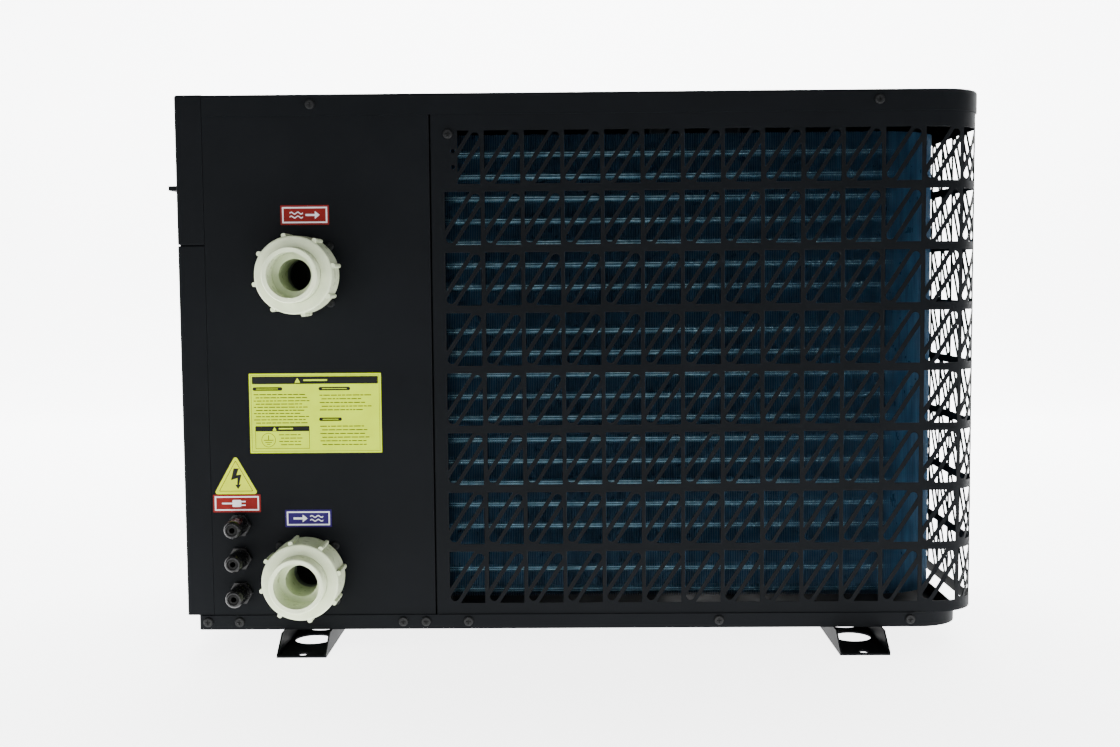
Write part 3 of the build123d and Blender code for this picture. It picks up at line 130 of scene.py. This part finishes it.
def make_finishes():
    """Every finish, by the record's slot name or by the piece it is for."""
    made = {}
    made["casing_paint"] = (Finish("powder_coat", (0.005, 0.0055, 0.0065), 0.5, Specular_IOR_Level=0.035)
                            .color_between((0.0045, 0.0052, 0.0061), (0.0052, 0.0059, 0.0070), 14)
                            .roughness_between(0.48, 0.54, 40)
                            .bump(1100, 0.035).bump(330, 0.012))
    made["black_steel"] = (Finish("black_enamel", (0.006, 0.006, 0.0065), 0.32, Specular_IOR_Level=0.12)
                           .color_between((0.005, 0.005, 0.0055), (0.008, 0.008, 0.0085), 20)
                           .roughness_between(0.22, 0.38, 25).bump(180, 0.05))
    made["screw_black"] = (Finish("black_screw", (0.008, 0.0085, 0.009), 0.45, Specular_IOR_Level=0.12)
                           .color_between((0.006, 0.0065, 0.007), (0.012, 0.0125, 0.013), 300)
                           .roughness_between(0.38, 0.55, 500).bump(1500, 0.01))
    made["zinc"] = (Finish("zinc_plate", (0.35, 0.35, 0.33), 0.3, 1.0)
                    .color_between((0.30, 0.31, 0.30), (0.40, 0.39, 0.36), 260)
                    .roughness_between(0.24, 0.42, 400).bump(1400, 0.01))
    made["steel"] = (Finish("ground_steel", (0.5, 0.5, 0.5), 0.25, 1.0)
                     .color_between((0.44, 0.44, 0.45), (0.58, 0.58, 0.58), 90, stretch=(1, 12, 1))
                     .roughness_between(0.18, 0.34, 120, (1, 14, 1)))
    made["rubber"] = (Finish("black_rubber", (0.007, 0.007, 0.007), 0.75, Specular_IOR_Level=0.1)
                      .color_between((0.006, 0.006, 0.006), (0.010, 0.010, 0.010), 120)
                      .roughness_between(0.65, 0.85, 200).bump(900, 0.02))
    made["gland_plastic"] = (Finish("black_nylon", (0.005, 0.005, 0.0055), 0.22, Specular_IOR_Level=0.22)
                             .color_between((0.004, 0.004, 0.0045), (0.007, 0.007, 0.0075), 150)
                             .roughness_between(0.17, 0.3, 220).bump(700, 0.008))
    made["control_plastic"] = (Finish("bezel_plastic", (0.007, 0.0075, 0.008), 0.5, Specular_IOR_Level=0.08)
                               .color_between((0.006, 0.0065, 0.007), (0.008, 0.0085, 0.009), 30)
                               .roughness_between(0.46, 0.56, 90).bump(1600, 0.02))
    made["button"] = (Finish("button_rubber", (0.085, 0.09, 0.095), 0.5, Specular_IOR_Level=0.12)
                      .color_between((0.078, 0.082, 0.086), (0.092, 0.096, 0.10), 200)
                      .roughness_between(0.42, 0.58, 300).bump(1500, 0.01))
    made["display_lens"] = (Finish("display_glass", (0.003, 0.004, 0.005), 0.12, Specular_IOR_Level=0.1)
                            .color_between((0.0025, 0.0035, 0.0045), (0.0035, 0.0048, 0.006), 40)
                            .roughness_between(0.10, 0.16, 60))
    made["smoked_cover"] = (Finish("smoked_cover", (0.004, 0.004, 0.005), 0.25, Specular_IOR_Level=0.08)
                            .color_between((0.0035, 0.0035, 0.0042), (0.005, 0.005, 0.006), 25)
                            .roughness_between(0.20, 0.28, 70).bump(120, 0.01))
    made["fan_plastic"] = (Finish("fan_plastic", (0.006, 0.006, 0.0065), 0.42, Specular_IOR_Level=0.06)
                           .color_between((0.005, 0.005, 0.0055), (0.0075, 0.0075, 0.008), 35)
                           .roughness_between(0.35, 0.5, 80).bump(600, 0.02))
    made["grille_plastic"] = (Finish("grille_plastic", (0.005, 0.0053, 0.0056), 0.42,
                                     Specular_IOR_Level=0.05)
                              .color_between((0.0043, 0.0046, 0.0049), (0.006, 0.0063, 0.0067), 45)
                              .roughness_between(0.34, 0.48, 90).bump(1000, 0.015))
    made["motor_cast"] = (Finish("motor_casting", (0.013, 0.013, 0.014), 0.45, Specular_IOR_Level=0.12)
                          .color_between((0.011, 0.011, 0.012), (0.018, 0.018, 0.019), 60)
                          .roughness_between(0.38, 0.58, 120).bump(420, 0.08))
    made["pvc_grey"] = (Finish("grey_pvc", (0.16, 0.17, 0.18), 0.35)
                        .color_between((0.14, 0.15, 0.16), (0.18, 0.19, 0.20), 12)
                        .roughness_between(0.28, 0.42, 30).bump(60, 0.05, stretch=(1, 1, 0.05)))
    made["brass"] = (Finish("turned_brass", (0.72, 0.5, 0.2), 0.28, 1.0)
                     .color_between((0.60, 0.40, 0.15), (0.80, 0.58, 0.26), 70)
                     .roughness_between(0.2, 0.4, 150).bump(500, 0.01))
    made["copper"] = (Finish("drawn_copper", (0.75, 0.36, 0.2), 0.3, 1.0)
                      .color_between((0.52, 0.22, 0.11), (0.82, 0.42, 0.26), 45)
                      .roughness_between(0.2, 0.45, 70).bump(260, 0.02))
    made["titanium"] = (Finish("drawn_titanium", (0.45, 0.43, 0.41), 0.35, 1.0)
                        .color_between((0.38, 0.36, 0.35), (0.52, 0.50, 0.47), 60)
                        .roughness_between(0.28, 0.42, 90))
    made["board"] = (Finish("circuit_board", (0.01, 0.08, 0.035), 0.35)
                     .color_between((0.008, 0.06, 0.028), (0.016, 0.11, 0.05), 260)
                     .roughness_between(0.28, 0.45, 300).bump(700, 0.05))
    made["display_light"] = (Finish("display_light", (0.25, 0.6, 0.62), 0.4, Emission_Strength=0.6,
                                    Emission_Color=(0.35, 0.85, 0.9, 1))
                             .color_between((0.22, 0.55, 0.58), (0.28, 0.64, 0.66), 200))
    made["galvanised"] = (Finish("galvanised_sheet", (0.12, 0.125, 0.13), 0.45, 1.0)
                          .spangle((0.10, 0.105, 0.11), (0.15, 0.155, 0.16), 110)
                          .roughness_between(0.38, 0.52, 90).bump(300, 0.01))
    made["union_pvc"] = (Finish("ivory_pvc", (0.76, 0.77, 0.66), 0.3, Subsurface_Weight=0.15,
                                Subsurface_Radius=(0.004, 0.004, 0.003), Specular_IOR_Level=0.25)
                         .color_between((0.55, 0.62, 0.42), (0.65, 0.72, 0.50), 38)
                         .roughness_between(0.24, 0.38, 130).bump(90, 0.03).bump(700, 0.006))
    made["blue_fin"] = (Finish("blue_fin_coating", (0.02, 0.12, 0.24), 0.3, 0.5)
                        .color_between((0.024, 0.074, 0.138), (0.046, 0.135, 0.240), 30, (6, 6, 0.6))
                        .roughness_between(0.26, 0.42, 60).bump(420, 0.015, stretch=(1, 1, 3)))
    made["coated_tube"] = (Finish("coated_tube", (0.03, 0.10, 0.15), 0.35, 0.6)
                           .color_between((0.02, 0.08, 0.12), (0.05, 0.14, 0.19), 90, stretch=(3, 3, 0.6))
                           .roughness_between(0.28, 0.44, 120))
    # Bright cyan on thin ridges at the fin collars' edges: a painted highlight on the tubes, not the
    # collars' own colour.
    made["fin_collar"] = (Finish("fin_collars", (0.45, 0.75, 0.85), 0.3, 0.3)
                          .color_between((0.34, 0.62, 0.74), (0.60, 0.86, 0.94), 90, stretch=(3, 3, 0.6))
                          .roughness_between(0.22, 0.38, 120))
    for name, color in (("label_lime", (0.50, 0.66, 0.0)), ("label_yellow", (0.54, 0.64, 0.0)),
                        ("label_red", (0.17, 0.004, 0.002)), ("label_violet", (0.012, 0.002, 0.085)),
                        ("label_white", (0.72, 0.72, 0.74)), ("label_black", (0.004, 0.005, 0.004))):
        darker = tuple(0.92 * channel for channel in color)
        made[name] = (Finish(name, color, 0.4, Specular_IOR_Level=0.12)
                      .color_between(darker, color, 60)
                      .roughness_between(0.34, 0.48, 200).bump(1200, 0.004))
    return {name: finish.material for name, finish in made.items()}


finishes = make_finishes()


def paint_cad_nodes():
    """Give every CAD node the finish of its slot in the record."""
    for subpart in frame["record"]["subparts"]:
        piece = nodes[subpart["node"]]
        material = finishes.get(subpart["material_slot"])
        if material is None:
            continue
        if not piece.material_slots:
            piece.data.materials.append(material)
        for slot in piece.material_slots:
            slot.material = material


# --- Mesh helpers -----------------------------------------------------------------------------------


def piece_from(mesh_maker, name, material, body="casing"):
    """Make a mesh object, give it a finish and let it ride on a body."""
    mesh = bpy.data.meshes.new(name)
    made = bmesh.new()
    mesh_maker(made)
    bmesh.ops.recalc_face_normals(made, faces=made.faces)
    made.to_mesh(mesh)
    made.free()
    mesh.materials.append(material)
    piece = bpy.data.objects.new(name, mesh)
    bpy.context.scene.collection.objects.link(piece)
    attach(piece, body)
    return piece


def prism(mesh, outline, bottom, top):
    """A closed prism between two rings: bottom and top each map an outline point to a place."""
    low = [mesh.verts.new(bottom(point)) for point in outline]
    high = [mesh.verts.new(top(point)) for point in outline]
    mesh.faces.new(low[::-1])
    mesh.faces.new(high)
    for i in range(len(outline)):
        j = (i + 1) % len(outline)
        mesh.faces.new((low[i], low[j], high[j], high[i]))


def rounded_polygon(corners, radius, steps=5):
    """The outline of a convex polygon, its corners rounded. Corners run anticlockwise."""
    outline = []
    count = len(corners)
    for i, corner in enumerate(corners):
        here = Vector(corner)
        back = (Vector(corners[i - 1]) - here).normalized()
        ahead = (Vector(corners[(i + 1) % count]) - here).normalized()
        half = back.angle(ahead) / 2
        reach = radius / math.tan(half)
        centre = here + (back + ahead).normalized() * (radius / math.sin(half))
        start = here + back * reach - centre
        sweep = math.pi - 2 * half
        for step in range(steps + 1):
            outline.append(tuple(centre + Matrix.Rotation(sweep * step / steps, 2) @ start))
    return outline


def rounded_box(x0, x1, z0, z1, radius):
    return rounded_polygon([(x0, z0), (x1, z0), (x1, z1), (x0, z1)], radius)


def bar(x0, x1, z0, z1):
    return [(x0, z0), (x1, z0), (x1, z1), (x0, z1)]


def ring_segments(x, z, inner, outer, start=0, sweep=turn, steps=20):
    """A ring, or an open part of one, cut into short four-sided pieces."""
    parts = []
    for k in range(steps):
        a = start + sweep * k / steps
        b = start + sweep * (k + 1) / steps
        parts.append([(x + r * math.cos(t), z + r * math.sin(t))
                      for r, t in ((inner, a), (outer, a), (outer, b), (inner, b))])
    return parts


def plates(name, outlines, y_from, y_to, material, body="casing"):
    """Flat plates from y_from to y_to. The outlines hold x and z, and all of it is in millimetres."""
    def build(mesh):
        for outline in outlines:
            prism(mesh, outline, lambda p: (p[0] * MM, y_from * MM, p[1] * MM),
                  lambda p: (p[0] * MM, y_to * MM, p[1] * MM))
    return piece_from(build, name, finishes[material], body)


# --- Labels -----------------------------------------------------------------------------------------
# Label drawings are in millimetres in the plane of the rear panel, x to the right and z up.

panel_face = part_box("rear_service_panel")[0].y / MM
film = 0.25                  # thickness of a label's film
ink = 0.04                   # thickness of a layer of printing on it
label_boxes = {              # left, right, bottom and top of each four-sided label
    "outlet_label": (-337.2, -282.4, 485, 507),
    "inlet_label": (-339.6, -286.3, 140.5, 160.5),
    "power_label": (-422, -367.4, 158, 178.5),
    "instruction_sheet": (-377.5, -227, 226, 317),
}


class Label:
    """A label on the rear panel: a film, and layers of ink on it."""

    def __init__(self, name, outline, material):
        self.name = name
        self.layers = 0
        self.film = self.add("film", [outline], material, 0, film)

    def add(self, part, outlines, material, start, thickness):
        return plates(f"{self.name}_{part}", outlines, panel_face - start, panel_face - start - thickness,
                      material)

    def print_on(self, part, outlines, material):
        """Print outlines in one ink, on top of what is there."""
        self.add(part, outlines, material, film + self.layers * ink, ink)
        self.layers += 1


def frame_bars(x0, x1, z0, z1, width):
    """Four bars that make a rectangular frame."""
    return [bar(x0, x1, z0, z0 + width), bar(x0, x1, z1 - width, z1),
            bar(x0, x0 + width, z0 + width, z1 - width), bar(x1 - width, x1, z0 + width, z1 - width)]


def wave(x0, x1, z, height, width, waves=2, steps=24):
    """A wavy ribbon, the sign for water."""
    upper, lower = [], []
    for k in range(steps + 1):
        x = x0 + (x1 - x0) * k / steps
        level = z + height * math.sin(turn * waves * k / steps)
        upper.append((x, level + width / 2))
        lower.append((x, level - width / 2))
    return lower + upper[::-1]


def arrow(tail_x, head_x, z, shaft, head):
    """A straight arrow along x."""
    sign = 1 if head_x > tail_x else -1
    neck = head_x - sign * head
    return [(tail_x, z - shaft / 2), (neck, z - shaft / 2), (neck, z - head * 0.8), (head_x, z),
            (neck, z + head * 0.8), (neck, z + shaft / 2), (tail_x, z + shaft / 2)]


def bolt_sign(x, z, size):
    """A lightning bolt that ends in an arrow head."""
    points = [(-0.10, 0.50), (0.16, 0.50), (0.03, 0.16), (0.28, 0.20), (0.16, -0.30), (0.27, -0.28),
              (0.10, -0.52), (-0.04, -0.30), (0.06, -0.31), (0.08, 0.02), (-0.24, -0.08)]
    return [(x + px * size, z + pz * size) for px, pz in points]


def pipe_label(name, material, signs):
    """A small coloured label with a white frame and white signs."""
    x0, x1, z0, z1 = label_boxes[name]
    margin = 2
    label = Label(name, rounded_box(x0, x1, z0, z1, 0.7), material)
    label.print_on("frame", frame_bars(x0 + margin, x1 - margin, z0 + margin, z1 - margin, 1.5),
                   "label_white")
    label.print_on("signs", signs((x0 + x1) / 2, (z0 + z1) / 2), "label_white")
    return label


def water_sign(x0, x1, z):
    """Two waves, one above the other."""
    return [wave(x0, x1, z + side * 2.2, 1.0, 1.3) for side in (1, -1)]


def outlet_signs(x, z):
    """Water, and an arrow away from it."""
    return [*water_sign(x - 17, x - 2, z), arrow(x + 1, x + 17, z, 2.2, 5.5)]


def inlet_signs(x, z):
    """An arrow towards water."""
    return [arrow(x - 17, x - 1, z, 2.2, 5.5), *water_sign(x + 2, x + 17, z)]


def power_signs(x, z):
    """A plug on its cable."""
    cable = bar(x - 17, x - 5, z - 0.8, z + 0.8)
    plug = rounded_box(x - 5, x + 5, z - 4, z + 4, 1.2)
    pins = [bar(x + 5, x + 10, z + 1.4, z + 2.8), bar(x + 5, x + 10, z - 2.8, z - 1.4)]
    return [cable, plug, *pins]


def triangle_outline(x, z, width, height, radius):
    """An upright triangle with rounded corners, its base centred on x at the height z."""
    return rounded_polygon([(x - width / 2, z), (x + width / 2, z), (x, z + height)], radius)


def line_bars(draw, x0, x1, top, count, pitch, height):
    """Rows of short bars that stand in for lines of small print."""
    rows = []
    for row in range(count):
        z = top - row * pitch
        x = x0 + (0 if row % 2 == 0 else 2.2)
        end = x1 - draw.uniform(0, 0.25) * (x1 - x0)
        while x < end - 3:
            length = min(draw.uniform(2.5, 8.0), end - x)
            rows.append(bar(x, x + length, z, z + height))
            x += length + 1.0
    return rows


def earth_sign(x, z):
    """The sign for a protective earth, in a ring."""
    return [bar(x - 0.4, x + 0.4, z, z + 5.5),
            bar(x - 5.5, x + 5.5, z - 0.6, z + 0.2),
            bar(x - 3.8, x + 3.8, z - 3.0, z - 2.3),
            bar(x - 2.0, x + 2.0, z - 5.2, z - 4.5),
            *ring_segments(x, z, 7.6, 8.1, steps=36)]


def instruction_sheet():
    """The large sheet: a header strip, section heads, lines of print and a boxed earth sign."""
    left, right, bottom, top = label_boxes["instruction_sheet"]
    draw = random.Random(11)
    middle = (left + right) / 2
    column = middle + 3          # left edge of the right-hand column
    inner_left = left + 6        # the box with the earth sign
    inner_right = left + 68
    inner_top = top - 60
    heads = ((left + 4, top - 15.5, 34, 25), (column + 1, top - 15.5, 36, 28),
             (column + 1, top - 50.5, 26, 18))   # left, top, length and length of the title in it
    black = [rounded_box(x, x + length, z - 4, z, 1.8) for x, z, length, _ in heads]
    black.append(rounded_box(left + 3.4, right - 3.4, top - 12, top - 3.4, 1.0))
    black.append(rounded_box(inner_left, inner_right, inner_top - 6, inner_top, 1.4))
    black += frame_bars(inner_left, inner_right, bottom + 5, inner_top - 5, 0.5)
    black += frame_bars(left + 2, right - 2, bottom + 2, top - 2, 0.35)
    black += line_bars(draw, left + 5, middle - 4, top - 24.5, 10, 3.6, 1.0)
    black += line_bars(draw, column + 2, right - 5, top - 25.5, 5, 4.2, 1.0)
    black += line_bars(draw, column + 2, right - 5, top - 61, 6, 4.2, 1.0)
    black += line_bars(draw, inner_left + 27, inner_right - 3, inner_top - 10.5, 4, 3.8, 0.9)
    black += earth_sign(inner_left + 15, (bottom + inner_top) / 2 - 0.5)
    light = [bar(x + 4, x + 4 + title, z - 2.3, z - 1.7) for x, z, _, title in heads]
    light.append(triangle_outline(middle - 20, top - 10.6, 6.5, 5.8, 0.5))
    light.append(bar(middle - 13, middle + 14, top - 8.6, top - 6.8))
    light.append(triangle_outline(inner_left + 22, inner_top - 5.2, 4.6, 4.2, 0.4))
    light.append(bar(inner_left + 27, inner_left + 43, inner_top - 3.7, inner_top - 2.3))
    sheet = Label("instruction_sheet", rounded_box(left, right, bottom, top, 0.6), "label_lime")
    sheet.print_on("print", black, "label_black")
    sheet.print_on("marks", light, "label_lime")
    return sheet


def hazard_triangle(x, z, width, height):
    """The yellow triangle with a bolt: a black triangle and a smaller yellow one leave a fine line."""
    inset = 3.2
    line_width = width - 3.6 * inset
    line_height = height - 2.9 * inset
    line = triangle_outline(x, z + inset, line_width, line_height, 0.8)
    field = triangle_outline(x, z + inset + 0.6, line_width - 2.1, line_height - 1.8, 0.6)
    label = Label("hazard_triangle", triangle_outline(x, z, width, height, 2.6), "label_yellow")
    label.print_on("line", [line], "label_black")
    label.print_on("field", [field], "label_yellow")
    label.print_on("bolt", [bolt_sign(x, z + height * 0.40, height * 0.52)], "label_black")
    return label


def make_labels():
    """The five labels that stand in for the CAD's plain ones."""
    outlet = pipe_label("outlet_label", "label_red", outlet_signs)
    inlet = pipe_label("inlet_label", "label_violet", inlet_signs)
    power = pipe_label("power_label", "label_red", power_signs)
    sheet = instruction_sheet()
    triangle = hazard_triangle(-395.2, 179, 51, 45)
    for label in (outlet, inlet, power, sheet, triangle):
        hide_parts("rear_labels")


# --- Evaporator -------------------------------------------------------------------------------------
# The coil is an L in plan: a rear leg, a bend and a side leg.

coil_low, coil_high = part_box("evaporator_fins")
coil_depth = 0.044
coil_bend = 0.075            # outer radius of the bend
mid_bend = coil_bend - coil_depth / 2
bend_centre = Vector((coil_high.x - coil_bend, coil_low.y + coil_bend))
rear_length = bend_centre.x - coil_low.x
bend_length = mid_bend * turn / 4
side_length = coil_high.y - bend_centre.y
coil_length = rear_length + bend_length + side_length
fin_pitch = 0.0020
fin_sheet = 0.00013
fin_sway = 0.0012            # how far the corrugated part of a fin swings to each side
fin_waves = 3
fin_plain = 7.5 / 44         # share of a fin's depth, at its outer edge, that is plain
tube_radius = 0.0052         # over the fins' collars
tube_pitch = 0.0254
tube_levels = 21
outer_row_lift = 0.0065      # the lowest tube of each row, above the bottom of the fins
inner_row_lift = 0.0192
painted_highlight_radius = 0.00045       # radius of the ridge at a collar's edge, bright with a painted highlight
painted_highlight_spread = 0.0014       # from a tube's axis up or down to its collar's edge


def coil_place(s):
    """Place and outward direction, in plan, at the distance s along the middle of the coil."""
    if s < rear_length:
        return Vector((coil_low.x + s, coil_low.y + coil_depth / 2)), Vector((0, -1))
    if s < rear_length + bend_length:
        angle = (s - rear_length) / mid_bend
        out = Vector((math.sin(angle), -math.cos(angle)))
        return bend_centre + out * mid_bend, out
    side_y = bend_centre.y + s - rear_length - bend_length
    return Vector((coil_high.x - coil_depth / 2, side_y)), Vector((1, 0))


def build_fins(mesh):
    """Several hundred upright fins across the coil, plain at the outer edge and corrugated behind it."""
    draw = random.Random(3)
    steps = 16
    wavy = 1 - fin_plain
    places = [(1, 0)] + [(wavy - wavy * j / steps, j / steps) for j in range(steps + 1)]
    count = int(coil_length / fin_pitch)
    for k in range(count):
        middle, out = coil_place((k + 0.5) * coil_length / count)
        along = Vector((-out.y, out.x))
        lean = draw.uniform(-0.00012, 0.00012)
        outline = []
        for side in (-1, 1):
            line = []
            for depth_share, phase in places:
                depth = (depth_share - 0.5) * (coil_depth - 0.001)
                sway = fin_sway * math.sin(turn * fin_waves * phase) + lean * phase
                line.append(middle + out * depth + along * (sway + side * fin_sheet / 2))
            outline += line if side < 0 else line[::-1]
        bottom = coil_low.z + draw.uniform(0, 0.0004)
        top = coil_high.z - draw.uniform(0, 0.0004)
        prism(mesh, outline, lambda p: (p.x, p.y, bottom), lambda p: (p.x, p.y, top))


def build_run(mesh, out_shift, z, radius, sides=12, steps=60):
    """A round bar that follows the coil from end to end, out_shift from its middle."""
    rings = []
    for k in range(steps + 1):
        middle, out = coil_place(coil_length * k / steps)
        centre = middle + out * out_shift
        rings.append([mesh.verts.new((centre.x + out.x * radius * math.cos(a),
                                      centre.y + out.y * radius * math.cos(a),
                                      z + radius * math.sin(a)))
                      for a in (turn * i / sides for i in range(sides))])
    for first, second in zip(rings, rings[1:]):
        for i in range(sides):
            j = (i + 1) % sides
            mesh.faces.new((first[i], first[j], second[j], second[i]))
    mesh.faces.new(rings[0][::-1])
    mesh.faces.new(rings[-1])


def build_tubes(mesh):
    """The tubes through the fins, in two staggered rows."""
    for out_shift, lift in ((coil_depth / 4, outer_row_lift), (-coil_depth / 4, inner_row_lift)):
        for level in range(tube_levels):
            build_run(mesh, out_shift, coil_low.z + lift + level * tube_pitch, tube_radius)


def build_painted_highlights(mesh):
    """Thin ridges at the collars' edges, two along each outer tube, coloured bright as a painted highlight
    on the tube.
    """
    for level in range(tube_levels):
        for side in (-1, 1):
            z = coil_low.z + outer_row_lift + level * tube_pitch + side * painted_highlight_spread
            build_run(mesh, coil_depth / 4 + tube_radius, z, painted_highlight_radius, sides=6)


def make_evaporator():
    """Fins, tubes and painted highlight ridges in place of the CAD's plain block."""
    fins = piece_from(build_fins, "coil_fins", finishes["blue_fin"])
    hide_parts("evaporator_fins")
    tubes = piece_from(build_tubes, "coil_tubes", finishes["coated_tube"])
    painted_highlights = piece_from(build_painted_highlights, "coil_painted_highlights", finishes["fin_collar"])
    for piece in (tubes, painted_highlights):
        for face in piece.data.polygons:
            face.use_smooth = True


# --- Controller -------------------------------------------------------------------------------------
# The front face looks along +Y, so x runs right to left on it.


mark_thickness = 0.15
button_mark_sink = 0.12      # how deep a button's sign is let into it


def front_mark(name, outlines, face, material, body):
    """Flat marks on a face that looks to the front."""
    return plates(name, outlines, face, face + mark_thickness, material, body)


def seven_segments(x, z, lit):
    """The lit segments of one figure. x runs towards the viewer's left on the front face."""
    width, height, stroke = 7.0, 14.0, 1.1
    half = height / 2
    flat = {"top": z + half, "middle": z, "bottom": z - half}
    parts = []
    for name in lit:
        if name in flat:
            parts.append(bar(x - width / 2 + stroke, x + width / 2 - stroke,
                             flat[name] - stroke / 2, flat[name] + stroke / 2))
        else:
            level, side = name.split("_")
            edge = x + (width / 2 if side == "left" else -width / 2)
            low = z + stroke * 0.7 if level == "upper" else z - half + stroke * 0.7
            parts.append(bar(edge - stroke / 2, edge + stroke / 2, low, low + half - 1.4 * stroke))
    return parts


def node_face(node):
    """The middle of a node's front face and the face's own place along Y."""
    low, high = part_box(node)
    return (low.x + high.x) / 2 / MM, (low.z + high.z) / 2 / MM, high.y / MM


def power_sign(x, z):
    return [*ring_segments(x, z, 2.3, 3.0, math.radians(120), math.radians(300)),
            bar(x - 0.35, x + 0.35, z + 0.4, z + 3.4)]


def step_sign(x, z, sign):
    """A triangle that points up, or down where sign is -1."""
    return [[(x - 2.8, z - sign * 1.8), (x + 2.8, z - sign * 1.8), (x, z + sign * 2.6)]]


def make_controls():
    """Signs on the three buttons and a temperature on the display."""
    buttons = {"button_1": "power", "button_2": "up", "button_3": "down"}
    for node, kind in buttons.items():
        x, z, face = node_face(node)
        parts = power_sign(x, z) if kind == "power" else step_sign(x, z, 1 if kind == "up" else -1)
        front_mark(f"{kind}_sign", parts, face - button_mark_sink, "label_black", f"{kind}_button")
    x, z, face = node_face("control_lens")
    figure_pitch = 11
    figures = (("top", "middle", "bottom", "upper_right", "lower_left"),
               ("top", "middle", "bottom", "upper_left", "upper_right", "lower_left", "lower_right"))
    parts = []
    for place, lit in enumerate(figures):
        parts += seven_segments(x + (0.5 - place) * figure_pitch, z, lit)
    parts += ring_segments(x - 12.5, z + 6, 0.9, 1.4, steps=14)
    front_mark("display_figures", parts, face - 0.05, "display_light", "casing")


# --- Floor, light and camera ------------------------------------------------------------------------


stage_start = -9.0           # how far the floor runs out, behind the camera
stage_half_width = 12.0
curve_start = 2.2            # where the floor begins to curve up into the backdrop
curve_radius = 1.0
backdrop_top = 9.0
floor_gap = 0.0003           # keeps the floor clear of the feet


def stage_finish():
    """A pale surface that glows under and behind the unit, and fades towards the camera."""
    stage = Finish("pale_floor", (0.86, 0.87, 0.88), 0.7, Emission_Color=(1, 1, 1, 1))
    stage.color_between((0.84, 0.85, 0.86), (0.88, 0.89, 0.90), 1.5)
    axes = stage.node("ShaderNodeSeparateXYZ")
    glow = stage.node("ShaderNodeMapRange")
    glow.interpolation_type = "SMOOTHSTEP"
    for socket, value in (("From Min", -1.15), ("From Max", -0.65), ("To Min", 0.15), ("To Max", 4.4)):
        glow.inputs[socket].default_value = value
    stage.link(stage.coordinates, axes.inputs["Vector"])
    stage.link(axes.outputs["Y"], glow.inputs["Value"])
    stage.link(glow.outputs["Result"], stage.shader.inputs["Emission Strength"])
    return stage.material


def make_stage():
    """A pale floor that runs up into a pale backdrop."""
    steps = 12
    outline = [(stage_start, 0.0), (curve_start, 0.0)]
    for k in range(1, steps + 1):
        angle = turn / 4 * k / steps
        outline.append((curve_start + curve_radius * math.sin(angle), curve_radius * (1 - math.cos(angle))))
    outline.append((curve_start + curve_radius, backdrop_top))
    mesh = bpy.data.meshes.new("floor")
    made = bmesh.new()
    left, right = [[made.verts.new((x, y, z - floor_gap)) for y, z in outline]
                   for x in (-stage_half_width, stage_half_width)]
    for i in range(len(outline) - 1):
        made.faces.new((left[i], right[i], right[i + 1], left[i + 1]))
    made.to_mesh(mesh)
    made.free()
    mesh.materials.append(stage_finish())
    floor = bpy.data.objects.new("floor", mesh)
    bpy.context.scene.collection.objects.link(floor)
    for face in mesh.polygons:
        face.use_smooth = True


def area_light(name, place, target, size, power):
    """A white rectangular light that looks from its place at a target."""
    data = bpy.data.lights.new(name, "AREA")
    data.shape = "RECTANGLE"
    data.size, data.size_y = size
    data.energy = power
    light = bpy.data.objects.new(name, data)
    light.location = place
    light.rotation_euler = (Vector(target) - Vector(place)).to_track_quat("-Z", "Y").to_euler()
    bpy.context.scene.collection.objects.link(light)


def make_lights():
    """A faint pale surround, a light on the backdrop and two soft lights on the unit."""
    world = bpy.data.worlds.new("studio")
    world.use_nodes = True
    background = world.node_tree.nodes["Background"]
    background.inputs["Color"].default_value = (1, 1, 1, 1)
    background.inputs["Strength"].default_value = 0.3
    bpy.context.scene.world = world
    area_light("backdrop_light", (0, 1.4, 2.6), (0, 3.2, 0.6), (4.5, 1.2), 260)
    area_light("key_light", (-1.2, -1.9, 0.6), (-0.2, 0, 0.2), (1.4, 0.8), 12)
    area_light("fill_light", (1.7, -1.7, 0.5), (0.2, 0, 0.25), (1.2, 0.8), 6)


def make_camera():
    """The camera behind the unit, level with the upper union, looking slightly down and left."""
    distance = 1.505             # from the rear panel
    height = 0.422
    across = -0.005
    pitch, yaw, roll = 0.0711, 0.0122, -0.008
    ahead = Vector((-math.sin(yaw) * math.cos(pitch), math.cos(yaw) * math.cos(pitch), -math.sin(pitch)))
    level_right = Vector((math.cos(yaw), math.sin(yaw), 0))
    level_up = level_right.cross(ahead)
    right = math.cos(roll) * level_right + math.sin(roll) * level_up
    up = math.cos(roll) * level_up - math.sin(roll) * level_right
    data = bpy.data.cameras.new("camera")
    data.sensor_width = 36
    data.lens = 42.75
    camera = bpy.data.objects.new("camera", data)
    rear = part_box("rear_service_panel")[0].y
    look = Matrix((right, up, -ahead)).transposed().to_4x4()
    camera.matrix_world = Matrix.Translation((across, rear - distance, height)) @ look
    bpy.context.scene.collection.objects.link(camera)
    bpy.context.scene.camera = camera


paint_cad_nodes()
make_labels()
make_evaporator()
make_controls()
make_stage()
make_lights()
make_camera()
